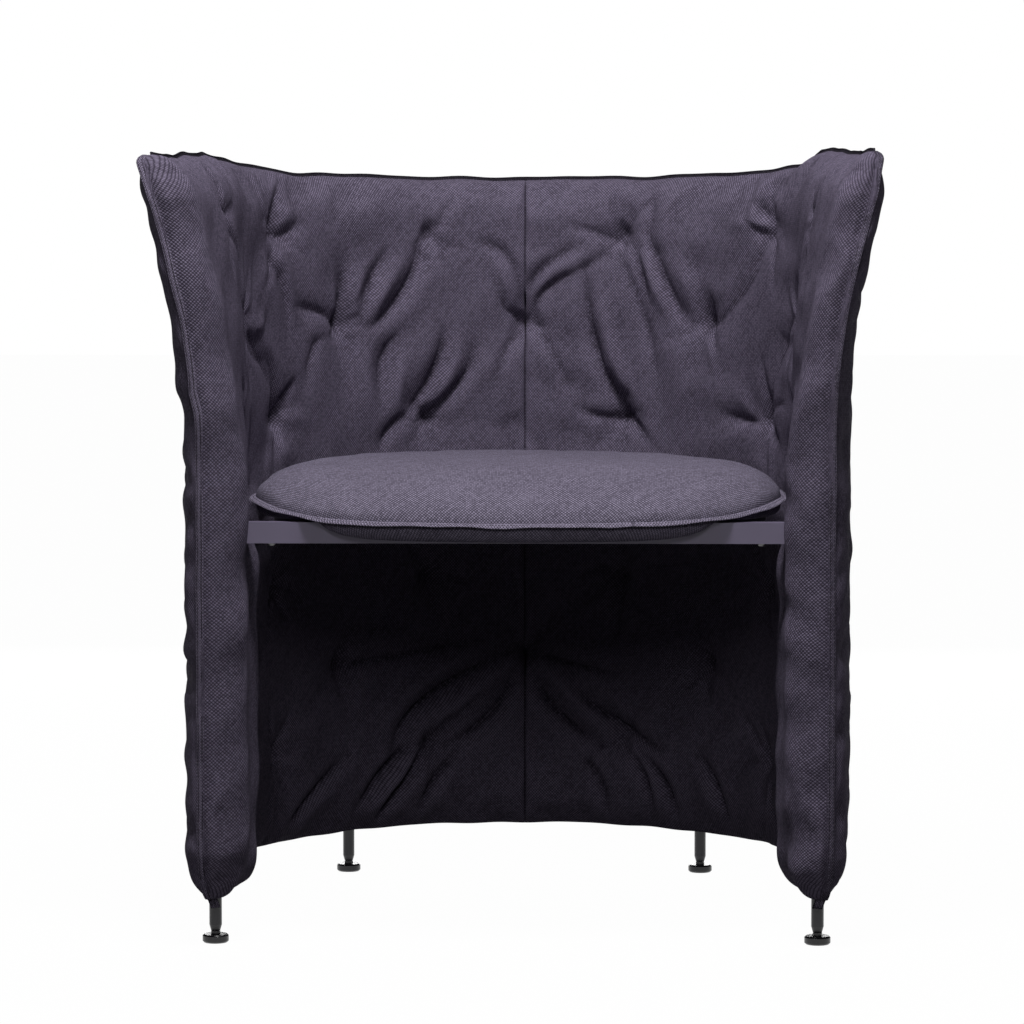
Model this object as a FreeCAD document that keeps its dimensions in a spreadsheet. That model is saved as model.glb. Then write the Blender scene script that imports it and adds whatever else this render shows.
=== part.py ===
import FreeCAD, Part
import math
import os
from types import SimpleNamespace

import Sketcher
from FreeCAD import Vector

# A lounge chair: a thin tube frame inside a tufted horseshoe-shaped quilt, with a round loose
# seat cushion. Millimetres, +Z up, the front faces -Y, and the origin is on the floor under
# the middle of the chair. Left and right are as seen from the front: left is -X.

os.makedirs("parts", exist_ok=True)
doc = FreeCAD.newDocument("lounge_chair")

# Driving sizes, in millimetres, and angles in degrees

SIZES = {
    # tube frame
    "tube_dia": 12.0,
    "tube_wall": 1.5,
    "front_leg_half_spacing": 287.0,
    "rear_leg_half_spacing": 188.0,
    "front_leg_ahead": 215.0,
    "rear_leg_outset": 4.0,
    "leg_bottom": 17.0,
    "leg_bend_height": 470.0,
    "leg_bend_radius": 800.0,
    "leg_bend_angle": 10.0,
    "hoop_height": 700.0,
    "lower_rail_height": 95.0,
    "lower_rail_dia": 10.0,
    "weld_gap": 0.1,
    # seat frame
    "seat_height": 402.3,
    "rail_tall": 20.0,
    "rail_deep": 20.0,
    "rail_wall": 1.5,
    "rail_half_length": 270.0,
    "lug_reach": 52.0,
    "lug_clearance": 0.2,
    "ring_radius": 240.0,
    "plate_thick": 2.0,
    "bar_wide": 20.0,
    "bar_thick": 5.0,
    "bar_lap": 10.0,
    "screw_dia": 5.0,
    "screw_length": 12.0,
    "screw_head_dia": 9.5,
    "screw_head_tall": 2.7,
    "screw_socket": 3.0,
    "screw_clearance": 0.1,
    "rail_screw_from_end": 37.0,
    # feet
    "glide_dia": 25.0,
    "glide_tall": 8.0,
    "glide_edge": 1.5,
    "glide_boss_dia": 9.0,
    "glide_boss_top": 10.7,
    "stud_dia": 6.0,
    "stud_foot": 3.0,
    "stud_length": 34.0,
    "insert_gap": 0.3,
    "insert_neck_dia": 8.6,
    "insert_depth": 22.0,
    "insert_fit": 0.1,
    # quilt
    "wrap_radius": 302.0,
    "front_beyond_leg": 13.0,
    "wrap_bottom": 46.0,
    "wrap_bottom_round": 49.0,
    "wrap_top": 738.0,
    "front_drop": 8.0,
    "front_rise": 12.0,
    "top_lean": 12.0,
    "puff_half": 30.0,
    "waist_half": 27.5,
    "cover_thick": 1.6,
    "padding_gap": 0.5,
    "channel_gap": 0.3,
    # sewn tufts
    "tuft_low_row": 140.0,
    "tuft_high_row": 680.0,
    "tuft_spacing": 115.0,
    "tuft_half": 12.0,
    "tuft_floor_radius": 6.0,
    "tuft_mouth_radius": 60.0,
    "tuft_lip": 0.5,
    "tie_dia": 2.0,
    # flat seam flanges
    "flange_wide": 6.0,
    "flange_thick": 2.4,
    # seat cushion
    "cushion_half": 256.0,
    "cushion_ahead": 256.0,
    "cushion_corner": 144.0,
    "cushion_back_set": 4.0,
    "cushion_lift_gap": 0.3,
    "cushion_seam_rise": 18.0,
    "cushion_crown": 37.0,
    "cushion_foot_inset": 21.0,
}

# Shapes of outlines, as shares of the sizes that they follow

BACK_FLARE_SHARE = 0.25  # how much of the sides' flare the round back takes
SEAM_SHARE = 0.5  # where the edge seam lies, from the middle to the outer face
# height above the bottom as a share of its rounding, and half thickness as a share of the puff
BOTTOM_SHARES = ((0.0, 0.30), (0.12, 0.50), (0.29, 0.70), (0.59, 0.885), (1.0, 1.0))
# height above the high row, half thickness and outward lean, as shares
TOP_SHARES = ((0.48, 0.90, 0.17), (0.83, 0.63, 0.58), (1.0, 0.27, 1.0))
# heights of the tuft rows between the low and the high one
ROW_SHARES = (0.0, 0.167, 0.324, 0.481, 0.637, 0.824, 1.0)
EVEN_ROW_TUFTS = (1, 3, 5)  # in tuft spacings from the centre seam
ODD_ROW_TUFTS = (0, 2, 4)
# the cushion's side up to its seam, as shares of its rise and of the way out from its foot
BAND_SHARES = ((0.0, 0.0), (0.3, 0.7), (1.0, 1.0))
# the cushion above its seam, as shares of the crown's rise and of the seam's plan
CROWN_SHARES = ((0.0, 1.0), (0.535, 0.957), (0.865, 0.83), (0.94, 0.55), (0.988, 0.25), (1, 0.1))

LEFT, RIGHT = -1, 1
SIDES = (("left", LEFT), ("right", RIGHT))

sheet = doc.addObject("Spreadsheet::Sheet", "sizes")
for row, (alias, value) in enumerate(SIZES.items(), 1):
    sheet.set(f"A{row}", alias)
    sheet.set(f"B{row}", str(value))
    sheet.setAlias(f"B{row}", alias)
doc.recompute()

# Places that follow from the driving sizes

PLACES = {
    "centre_y": "(sizes.front_leg_ahead + sizes.front_beyond_leg - sizes.wrap_radius) / 2",
    "front_leg_y": "(sizes.front_beyond_leg - sizes.wrap_radius - sizes.front_leg_ahead) / 2",
    "rear_leg_radius": "sizes.wrap_radius + sizes.rear_leg_outset",
    "rear_leg_back": "sqrt(rear_leg_radius ^ 2 - sizes.rear_leg_half_spacing ^ 2)",
    "rear_leg_y": "centre_y + rear_leg_back",
    "rear_turn": "atan2(rear_leg_back; sizes.rear_leg_half_spacing)",
    "tube_radius": "sizes.tube_dia / 2",
    "bore_radius": "sizes.tube_dia / 2 - sizes.tube_wall",
    "cope_radius": "sizes.tube_dia / 2 + sizes.weld_gap",
    "rail_bottom": "sizes.seat_height - sizes.rail_tall",
    "rail_back_y": "front_leg_y + sizes.rail_deep / 2",
    "ring_height": "sizes.seat_height - sizes.plate_thick - sizes.tube_dia / 2",
    "bar_bottom": "ring_height - sizes.tube_dia / 2 - sizes.bar_thick",
    "cushion_bottom": "sizes.seat_height + sizes.cushion_lift_gap",
    "cushion_y": "centre_y + sizes.cushion_back_set",
}
places = doc.addObject("Spreadsheet::Sheet", "places")
for row, (alias, formula) in enumerate(PLACES.items(), 1):
    places.set(f"A{row}", alias)
    places.set(f"B{row}", f"={formula}")
    places.setAlias(f"B{row}", alias)
    doc.recompute()

size = SimpleNamespace(**{alias: float(sheet.get(alias)) for alias in SIZES})
place = SimpleNamespace(**{alias: float(places.get(alias)) for alias in PLACES})

NODES = []


def node(piece, name):
    """Gives a finished piece the name that its file takes."""
    piece.Label = name
    NODES.append(piece)
    return piece


def bind(piece, expressions):
    """Ties properties of a piece to the sheets."""
    for prop, expression in expressions.items():
        piece.setExpression(prop, expression)
    return piece


def at(x="0", y="0", z="0"):
    """The expressions for a place."""
    return {"Placement.Base.x": x, "Placement.Base.y": y, "Placement.Base.z": z}


def rod(name, radius, height, where):
    """An upright round bar, tied to the sheets."""
    piece = doc.addObject("Part::Cylinder", name)
    return bind(piece, {"Radius": radius, "Height": height, **where})


def block(name, length, width, height, where):
    """A square bar, tied to the sheets."""
    piece = doc.addObject("Part::Box", name)
    return bind(piece, {"Length": length, "Width": width, "Height": height, **where})


def made(name, shape):
    """A piece whose shape is worked out here from the sizes."""
    piece = doc.addObject("Part::Feature", name)
    piece.Shape = shape
    return piece


def cut(name, base, *tools):
    """A piece less one or more others."""
    tool = tools[0]
    if len(tools) > 1:
        tool = doc.addObject("Part::Compound", f"{name}_tools")
        tool.Links = list(tools)
    piece = doc.addObject("Part::Cut", name)
    piece.Base = base
    piece.Tool = tool
    return piece


def turned(edges, x=0.0, y=0.0, z=0.0):
    """A solid turned about the upright axis from a profile in the XZ plane."""
    face = Part.Face(Part.Wire(edges))
    solid = face.revolve(Vector(0, 0, 0), Vector(0, 0, 1), 360)
    return solid.translated(Vector(x, y, z))


def line(a, b):
    return Part.makeLine(a, b)


def arc(a, b, c):
    return Part.Arc(a, b, c).toShape()


def mirrored(shape):
    """The same shape on the other side of the chair."""
    return shape.mirror(Vector(0, 0, 0), Vector(1, 0, 0))


# The plan: a round back, and straight sides that run forward through the front legs


def front_half(z):
    """Half the distance between the front legs at a height: they lean out above the bend."""
    base, start = size.front_leg_half_spacing, size.leg_bend_height
    radius, angle = size.leg_bend_radius, math.radians(size.leg_bend_angle)
    end = start + radius * math.sin(angle)
    if z <= start:
        return base
    if z <= end:
        return base + radius - math.sqrt(radius**2 - (z - start) ** 2)
    return base + radius * (1 - math.cos(angle)) + (z - end) * math.tan(angle)


def wrap_plan(z):
    """The middle line of the quilt at a height, as half spacing and back radius."""
    half = front_half(z)
    return half, size.wrap_radius + BACK_FLARE_SHARE * (half - size.front_leg_half_spacing)


def tangent_angle(half, radius):
    """Where the straight side leaves the round back, from the +X direction."""
    reach = math.hypot(half, size.front_leg_ahead)
    return math.atan2(-size.front_leg_ahead, half) + math.acos(radius / reach)


def tilted(z):
    """Lifts plan points to a level that rises or drops a little from back to front."""
    share = (z - size.wrap_bottom) / (size.wrap_top - size.wrap_bottom)
    tilt = share * (size.front_rise + size.front_drop) - size.front_drop
    back = place.centre_y + size.wrap_radius
    depth = size.wrap_radius + size.front_leg_ahead

    def lift(point):
        return Vector(point.x, point.y, z + tilt * (back - point.y) / depth)

    return lift


class Plan:
    """Points and directions along the right half of a horseshoe."""

    def __init__(self, half, radius):
        angle = tangent_angle(half, radius)
        self.radius = radius
        self.angle = angle
        self.centre = Vector(0, place.centre_y, 0)
        self.out = Vector(math.cos(angle), math.sin(angle), 0)
        self.forward = Vector(math.sin(angle), -math.cos(angle), 0)
        self.leg = Vector(half, place.front_leg_y, 0)
        self.arc_length = radius * (math.pi / 2 - angle)

    def on_arc(self, angle, offset=0.0):
        direction = Vector(math.cos(angle), math.sin(angle), 0)
        return self.centre + direction * (self.radius + offset)

    def back(self, offset=0.0):
        return self.on_arc(math.pi / 2, offset)

    def bend(self, offset=0.0):
        return self.on_arc((math.pi / 2 + self.angle) / 2, offset)

    def tangent(self, offset=0.0):
        return self.on_arc(self.angle, offset)

    def along(self, distance):
        """Point and outward direction at a distance along the line from the back."""
        if distance <= self.arc_length:
            angle = math.pi / 2 - distance / self.radius
            direction = Vector(math.cos(angle), math.sin(angle), 0)
            return self.centre + direction * self.radius, direction
        return self.tangent() + self.forward * (distance - self.arc_length), self.out


def tube_between(path, radius):
    """A solid round bar along a path of tangent lines and arcs."""
    start = path[0].Vertexes[0].Point
    direction = path[0].tangentAt(path[0].FirstParameter)
    section = Part.Wire(Part.makeCircle(radius, start, direction))
    return Part.Wire(path).makePipeShell([section], True, False)


def pipe(path, radius):
    """A hollow tube of the frame along a path."""
    return tube_between(path, radius).cut(tube_between(path, radius - size.tube_wall))


# Frame paths


def raised(points, z):
    return [Vector(point.x, point.y, z) for point in points]


def front_leg_path(side):
    x, y = side * size.front_leg_half_spacing, place.front_leg_y
    radius, angle = size.leg_bend_radius, math.radians(size.leg_bend_angle)
    bend = Vector(x, y, size.leg_bend_height)

    def on_bend(turn):
        return bend + Vector(side * radius * (1 - math.cos(turn)), 0, radius * math.sin(turn))

    end = on_bend(angle)
    rise = size.hoop_height - end.z
    top = end + Vector(side * rise * math.tan(angle), 0, rise)
    foot = Vector(x, y, size.leg_bottom)
    return [line(foot, bend), arc(bend, on_bend(angle / 2), end), line(end, top)]


def hoop_path():
    z = size.hoop_height
    plan = Plan(front_half(z), place.rear_leg_radius)
    tip = plan.leg + plan.forward * size.tube_dia
    end, tangent, bend, back = raised([tip, plan.tangent(), plan.bend(), plan.back()], z)
    left_end, left_tangent, left_bend = [Vector(-p.x, p.y, p.z) for p in (end, tangent, bend)]
    return [
        line(end, tangent),
        arc(tangent, bend, back),
        arc(back, left_bend, left_tangent),
        line(left_tangent, left_end),
    ]


def lower_plan():
    return Plan(size.front_leg_half_spacing, place.rear_leg_radius)


def rear_leg_turn():
    """The angle of the right rear leg around the back's centre."""
    return math.atan2(place.rear_leg_back, size.rear_leg_half_spacing)


def lower_side_path(side):
    plan, z = lower_plan(), size.lower_rail_height
    turn = rear_leg_turn()
    points = [
        plan.leg,
        plan.tangent(),
        plan.on_arc((plan.angle + turn) / 2),
        plan.on_arc(turn),
    ]
    foot, tangent, middle, end = [Vector(side * p.x, p.y, z) for p in points]
    return [line(foot, tangent), arc(tangent, middle, end)]


def lower_back_path():
    plan, z = lower_plan(), size.lower_rail_height
    end, back = raised([plan.on_arc(rear_leg_turn()), plan.back()], z)
    return [arc(end, back, Vector(-end.x, end.y, z))]


# Frame: where tubes meet, the end of one is hollowed to the other's round with a weld gap

hoop_cope = made("hoop_cope", tube_between(hoop_path(), place.cope_radius))
node(made("hoop_tube", pipe(hoop_path(), place.tube_radius)), "top_hoop")

LEG_PLACES = {
    "front_left": ("-sizes.front_leg_half_spacing", "places.front_leg_y"),
    "front_right": ("sizes.front_leg_half_spacing", "places.front_leg_y"),
    "rear_left": ("-sizes.rear_leg_half_spacing", "places.rear_leg_y"),
    "rear_right": ("sizes.rear_leg_half_spacing", "places.rear_leg_y"),
}

leg_copes = {}
for name, side in SIDES:
    path = front_leg_path(side)
    leg_copes[f"front_{name}"] = made(
        f"front_cope_{name}", tube_between(path, place.cope_radius)
    )
    tube = made(f"front_tube_{name}", pipe(path, place.tube_radius))
    node(cut(f"front_leg_cut_{name}", tube, hoop_cope), f"front_leg_{name}")

for name, side in SIDES:
    x, y = LEG_PLACES[f"rear_{name}"]
    tall = "sizes.hoop_height - sizes.leg_bottom"
    where = at(x, y, "sizes.leg_bottom")
    leg_copes[f"rear_{name}"] = rod(f"rear_cope_{name}", "places.cope_radius", tall, where)
    tube = rod(f"rear_tube_{name}", "places.tube_radius", tall, where)
    bore = rod(f"rear_bore_{name}", "places.bore_radius", tall, where)
    node(cut(f"rear_leg_cut_{name}", tube, bore, hoop_cope), f"rear_leg_{name}")

for name, side in SIDES:
    tube = made(f"lower_tube_{name}", pipe(lower_side_path(side), size.lower_rail_dia / 2))
    ends = (leg_copes[f"front_{name}"], leg_copes[f"rear_{name}"])
    node(cut(f"lower_cut_{name}", tube, *ends), f"lower_rail_{name}")
tube = made("lower_tube_back", pipe(lower_back_path(), size.lower_rail_dia / 2))
ends = (leg_copes["rear_left"], leg_copes["rear_right"])
node(cut("lower_cut_back", tube, *ends), "lower_rail_back")

# Seat frame: a straight front rail slid over lugs on the front legs, a ring behind it that
# carries the sheet seat plate, and two bars that bolt the ring to the rear legs

RAIL_SCREW_X = "(sizes.rail_half_length - sizes.rail_screw_from_end)"
RING_SCREW_X = "sizes.ring_radius * cos(places.rear_turn)"
RING_SCREW_Y = "places.centre_y + sizes.ring_radius * sin(places.rear_turn)"


def origin_plane(body, role):
    planes = {plane.Role: plane for plane in body.Origin.OriginFeatures}
    return planes[role]


def new_sketch(body, name, role):
    sketch = body.newObject("Sketcher::SketchObject", name)
    sketch.AttachmentSupport = [(origin_plane(body, role), "")]
    sketch.MapMode = "FlatFace"
    return sketch


def add_outline(sketch, corners):
    """Closed straight sides whose corners are tied to the sheets."""
    count, first = len(corners), sketch.GeometryCount
    turns = [2 * math.pi * index / count for index in range(count)]
    start = [Vector(math.cos(turn), math.sin(turn), 0) for turn in turns]
    for index in range(count):
        sketch.addGeometry(Part.LineSegment(start[index], start[(index + 1) % count]))
    for index, (x, y) in enumerate(corners):
        side, following = first + index, first + (index + 1) % count
        sketch.addConstraint(Sketcher.Constraint("Coincident", side, 2, following, 1))
        for kind, expression in (("DistanceX", x), ("DistanceY", y)):
            number = sketch.addConstraint(Sketcher.Constraint(kind, -1, 1, side, 1, 1))
            label = f"{kind}_{side}"
            sketch.renameConstraint(number, label)
            sketch.setExpression(f"Constraints.{label}", expression)


def rail_corners(inset):
    low_y = f"places.front_leg_y - sizes.rail_deep / 2 + {inset}"
    high_y = f"places.rail_back_y - {inset}"
    low_z = f"places.rail_bottom + {inset}"
    high_z = f"sizes.seat_height - {inset}"
    return [(low_y, low_z), (high_y, low_z), (high_y, high_z), (low_y, high_z)]


def screw_hole(name, x, y, z):
    radius = "sizes.screw_dia / 2 + sizes.screw_clearance"
    deep = "sizes.screw_length + sizes.screw_clearance"
    return rod(name, radius, deep, at(x, y, z))


rail_holes = [
    screw_hole(
        f"rail_hole_{name}", f"{side} * {RAIL_SCREW_X}", "places.front_leg_y", "places.rail_bottom"
    )
    for name, side in SIDES
]
ring_holes = [
    screw_hole(f"ring_hole_{name}", f"{side} * {RING_SCREW_X}", RING_SCREW_Y, "places.bar_bottom")
    for name, side in SIDES
]

rail_body = doc.addObject("PartDesign::Body", "rail_body")
rail_section = new_sketch(rail_body, "rail_section", "YZ_Plane")
add_outline(rail_section, rail_corners("0"))
add_outline(rail_section, rail_corners("sizes.rail_wall"))
rail_pad = rail_body.newObject("PartDesign::Pad", "rail_pad")
rail_pad.Profile = rail_section
rail_pad.SideType = "Symmetric"
bind(rail_pad, {"Length": "2 * sizes.rail_half_length"})
rail_body.Tip = rail_pad
node(cut("rail_cut", rail_body, *rail_holes), "front_rail")

LUG_INSET = "(sizes.rail_wall + sizes.lug_clearance)"
for (name, side), hole in zip(SIDES, rail_holes):
    inner = "(sizes.rail_half_length - sizes.lug_reach)"
    long = f"sizes.front_leg_half_spacing - {inner}"
    start = inner if side == RIGHT else "-sizes.front_leg_half_spacing"
    bar = block(
        f"lug_bar_{name}",
        long,
        f"sizes.rail_deep - 2 * {LUG_INSET}",
        f"sizes.rail_tall - 2 * {LUG_INSET}",
        at(
            start,
            f"places.front_leg_y - sizes.rail_deep / 2 + {LUG_INSET}",
            f"places.rail_bottom + {LUG_INSET}",
        ),
    )
    node(cut(f"lug_cut_{name}", bar, leg_copes[f"front_{name}"], hole), f"rail_lug_{name}")

front_space = block(
    "front_space",
    "2 * (sizes.ring_radius + sizes.tube_dia)",
    "places.rail_back_y - places.centre_y + sizes.ring_radius + sizes.tube_dia",
    "2 * sizes.tube_dia",
    at(
        "-(sizes.ring_radius + sizes.tube_dia)",
        "places.centre_y - sizes.ring_radius - sizes.tube_dia",
        "places.ring_height - sizes.tube_dia",
    ),
)


def ring(name, radius):
    piece = doc.addObject("Part::Torus", name)
    where = at("0", "places.centre_y", "places.ring_height")
    return bind(piece, {"Radius1": "sizes.ring_radius", "Radius2": radius, **where})


ring_bore = ring("ring_bore", "places.bore_radius")
node(
    cut("ring_cut", ring("ring_tube", "places.tube_radius"), ring_bore, front_space, *ring_holes),
    "seat_ring",
)
plate_disc = rod(
    "plate_disc",
    "sizes.ring_radius + places.tube_radius",
    "sizes.plate_thick",
    at("0", "places.centre_y", "sizes.seat_height - sizes.plate_thick"),
)
node(cut("plate_cut", plate_disc, front_space), "seat_plate")


def rear_bar(name, side, extra):
    """A flat bar from under the ring to the middle of a rear leg, grown all round by extra."""
    start = f"(sizes.ring_radius - sizes.bar_lap - {extra})"
    across = f"(sizes.bar_wide / 2 + {extra})"
    turn = "places.rear_turn" if side == RIGHT else "180 deg - places.rear_turn"
    piece = block(
        name,
        f"places.rear_leg_radius - {start}",
        f"2 * {across}",
        f"sizes.bar_thick + 2 * {extra}",
        at(
            f"{side} * {start} * cos(places.rear_turn) + {across} * sin(places.rear_turn)",
            f"places.centre_y + {start} * sin(places.rear_turn)"
            f" - {side} * {across} * cos(places.rear_turn)",
            f"places.bar_bottom - {extra}",
        ),
    )
    return bind(piece, {"Placement.Rotation.Angle": turn})


for (name, side), hole in zip(SIDES, ring_holes):
    bar = rear_bar(f"bar_{name}", side, "0")
    node(cut(f"bar_cut_{name}", bar, leg_copes[f"rear_{name}"], hole), f"rear_bar_{name}")


def screw_shape():
    """A dome-headed socket screw with its head's seat at the origin and its shank upward."""
    shank, head, dome = size.screw_dia / 2, size.screw_head_dia / 2, size.screw_head_tall
    seat, rim = Vector(shank, 0, 0), Vector(head, 0, 0)
    crown = Vector(shank, 0, -dome)
    flank = Vector((shank + 2 * head) / 3, 0, -2 * dome / 3)
    profile = [
        line(Vector(0, 0, -dome), crown),
        arc(crown, flank, rim),
        line(rim, seat),
        line(seat, Vector(shank, 0, size.screw_length)),
        line(Vector(shank, 0, size.screw_length), Vector(0, 0, size.screw_length)),
        line(Vector(0, 0, size.screw_length), Vector(0, 0, -dome)),
    ]
    corners = 6
    across = size.screw_socket / math.sqrt(3)
    turns = [2 * math.pi * index / corners for index in range(corners + 1)]
    hexagon = [Vector(across * math.cos(a), across * math.sin(a), -dome) for a in turns]
    socket = Part.Face(Part.makePolygon(hexagon)).extrude(Vector(0, 0, 2 * dome / 3))
    return turned(profile).cut(socket)


screw_places = []
for name, side in SIDES:
    along = size.rail_half_length - size.rail_screw_from_end
    screw_places.append(Vector(side * along, place.front_leg_y, place.rail_bottom))
    turn = rear_leg_turn()
    x, y = size.ring_radius * math.cos(turn), size.ring_radius * math.sin(turn)
    screw_places.append(Vector(side * x, place.centre_y + y, place.bar_bottom))
screws = [screw_shape().translated(where) for where in screw_places]
node(made("screws", Part.Compound(screws)), "seat_screws")

# Feet: a threaded insert in each leg, and a glide on a stud that screws into it


def turned_body(name, corners, x, y):
    """A piece turned about an upright axis at a leg, from corners given as radius and height."""
    body = doc.addObject("PartDesign::Body", f"{name}_body")
    sketch = new_sketch(body, f"{name}_profile", "XZ_Plane")
    add_outline(sketch, corners)
    turn = body.newObject("PartDesign::Revolution", f"{name}_turn")
    turn.Profile = sketch
    turn.ReferenceAxis = (sketch, ["V_Axis"])
    turn.Angle = 360
    body.Tip = turn
    return node(bind(body, at(x, y)), name)


STUD_RADIUS = "sizes.stud_dia / 2"
STUD_HOLE = "sizes.stud_dia / 2 + sizes.screw_clearance"
PLUG_RADIUS = "places.bore_radius - sizes.insert_fit"
INSERT_FOOT = "sizes.glide_boss_top + sizes.insert_gap"
INSERT_TOP = "sizes.leg_bottom + sizes.insert_depth"
INSERT_CORNERS = [
    (STUD_HOLE, INSERT_FOOT),
    ("sizes.insert_neck_dia / 2", INSERT_FOOT),
    ("places.tube_radius", "sizes.leg_bottom"),
    (PLUG_RADIUS, "sizes.leg_bottom"),
    (PLUG_RADIUS, INSERT_TOP),
    (STUD_HOLE, INSERT_TOP),
]
PAD_RIM = "sizes.glide_dia / 2 - sizes.glide_edge"
PAD_CORNERS = [
    ("0", "0"),
    (PAD_RIM, "0"),
    ("sizes.glide_dia / 2", "sizes.glide_edge"),
    ("sizes.glide_dia / 2", "sizes.glide_tall - sizes.glide_edge"),
    (PAD_RIM, "sizes.glide_tall"),
    ("sizes.glide_boss_dia / 2", "sizes.glide_tall"),
    ("sizes.glide_boss_dia / 2", "sizes.glide_boss_top"),
    (STUD_RADIUS, "sizes.glide_boss_top"),
    (STUD_RADIUS, "sizes.stud_foot"),
    ("0", "sizes.stud_foot"),
]
for name, (x, y) in LEG_PLACES.items():
    turned_body(f"leg_insert_{name}", INSERT_CORNERS, x, y)
    turned_body(f"glide_pad_{name}", PAD_CORNERS, x, y)
    stud = rod(f"stud_{name}", STUD_RADIUS, "sizes.stud_length", at(x, y, "sizes.stud_foot"))
    node(stud, f"glide_stud_{name}")

# Quilt: the right half is worked out and the left half is its mirror image, and the two
# halves meet in the centre seam


def tuft_rows():
    span = size.tuft_high_row - size.tuft_low_row
    return [size.tuft_low_row + share * span for share in ROW_SHARES]


def quilt_levels():
    """Height, half thickness and outward lean from the bottom of the quilt to its top."""
    levels = [
        (size.wrap_bottom + rise * size.wrap_bottom_round, thick * size.puff_half, 0)
        for rise, thick in BOTTOM_SHARES
    ]
    rows = tuft_rows()
    for low, high in zip(rows, rows[1:]):
        levels.append((low, size.waist_half, 0))
        levels.append(((low + high) / 2, size.puff_half, 0))
    levels.append((rows[-1], size.waist_half, 0))
    span = size.wrap_top - rows[-1]
    for rise, thick, lean in TOP_SHARES:
        levels.append((rows[-1] + rise * span, thick * size.puff_half, lean * size.top_lean))
    return levels


def quilt_end(plan):
    return plan.leg + plan.forward * size.front_beyond_leg


def half_section(z, inner, outer, swing=0.0):
    """The right half of the horseshoe between two offsets from its middle line.

    Its straight side ends further out by the swing.
    """
    plan = Plan(*wrap_plan(z))
    end = quilt_end(plan)
    depth = (outer - inner) / 2
    middle = end + plan.out * (swing + (outer + inner) / 2)
    slant = depth * math.sqrt(1 / 2)
    lift = tilted(z)
    outer_back, outer_bend, outer_tangent = map(
        lift, (plan.back(outer), plan.bend(outer), plan.tangent(outer))
    )
    inner_back, inner_bend, inner_tangent = map(
        lift, (plan.back(inner), plan.bend(inner), plan.tangent(inner))
    )
    outer_end = lift(end + plan.out * (outer + swing))
    inner_end = lift(end + plan.out * (inner + swing))
    tip = lift(middle + plan.forward * depth)
    outer_round = lift(middle + (plan.forward + plan.out) * slant)
    inner_round = lift(middle + (plan.forward - plan.out) * slant)
    return Part.Wire(
        [
            arc(outer_back, outer_bend, outer_tangent),
            line(outer_tangent, outer_end),
            arc(outer_end, outer_round, tip),
            arc(tip, inner_round, inner_end),
            line(inner_end, inner_tangent),
            arc(inner_tangent, inner_bend, inner_back),
            line(inner_back, outer_back),
        ]
    )


def plain_quilt(inset):
    """The right half of the quilt without its tufts, smaller all round by an inset."""
    levels = quilt_levels()
    sections = []
    for index, (z, half, lean) in enumerate(levels):
        if index == 0:
            z += inset
        if index == len(levels) - 1:
            z -= inset
        sections.append(half_section(z, lean - half + inset, lean + half - inset))
    return Part.makeLoft(sections, True, False)


def tufts():
    """The middle and the outward direction of each tuft of the right half."""
    for index, z in enumerate(tuft_rows()):
        columns = ODD_ROW_TUFTS if index % 2 else EVEN_ROW_TUFTS
        for column in columns:
            point, out = Plan(*wrap_plan(z)).along(column * size.tuft_spacing)
            yield tilted(z)(point), out


def dimple(point, direction, rise, inset):
    """The hollow that a tuft draws into one face: its flank turns level at the mouth."""
    floor = Vector(size.tuft_floor_radius + inset, size.tuft_half - inset)
    mouth = Vector(size.tuft_mouth_radius, size.puff_half + size.tuft_lip + rise)
    wide, deep = mouth.x - floor.x, mouth.y - floor.y
    radius = (wide**2 + deep**2) / (2 * deep)
    half_turn = math.asin(wide / radius) / 2
    flank = Vector(
        mouth.x - radius * math.sin(half_turn), mouth.y - radius * (1 - math.cos(half_turn))
    )
    over = mouth.y + size.puff_half

    def spot(out, up):
        return point + Vector(0, 0, out) + direction * up

    profile = [
        line(spot(0, floor.y), spot(floor.x, floor.y)),
        arc(spot(floor.x, floor.y), spot(flank.x, flank.y), spot(mouth.x, mouth.y)),
        line(spot(mouth.x, mouth.y), spot(mouth.x, over)),
        line(spot(mouth.x, over), spot(0, over)),
        line(spot(0, over), spot(0, floor.y)),
    ]
    return Part.Face(Part.Wire(profile)).revolve(point, direction, 360)


def tie(point, out):
    """The sewn thread that draws a tuft together, through both covers."""
    start = point - out * size.tuft_half
    return Part.makeCylinder(size.tie_dia / 2, 2 * size.tuft_half, start, out)


def tufted_quilt(inset):
    """The right half of the quilt with the hollows of its tufts, smaller by an inset."""
    # the sitter's side curves towards the tufts, so its hollows reach further out
    bow = size.tuft_mouth_radius**2 / (2 * (size.wrap_radius - size.puff_half))
    hollows = []
    for point, out in tufts():
        hollows += [dimple(point, out, 0, inset), dimple(point, -out, bow, inset)]
    return plain_quilt(inset).cut(hollows)


def seam_line(plan, half, lean):
    """Where the edge seam lies round the front edge, and which way it faces there."""
    ahead = math.sqrt(1 - SEAM_SHARE**2)
    middle = quilt_end(plan) + plan.out * lean
    return middle, plan.out * SEAM_SHARE + plan.forward * ahead


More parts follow.
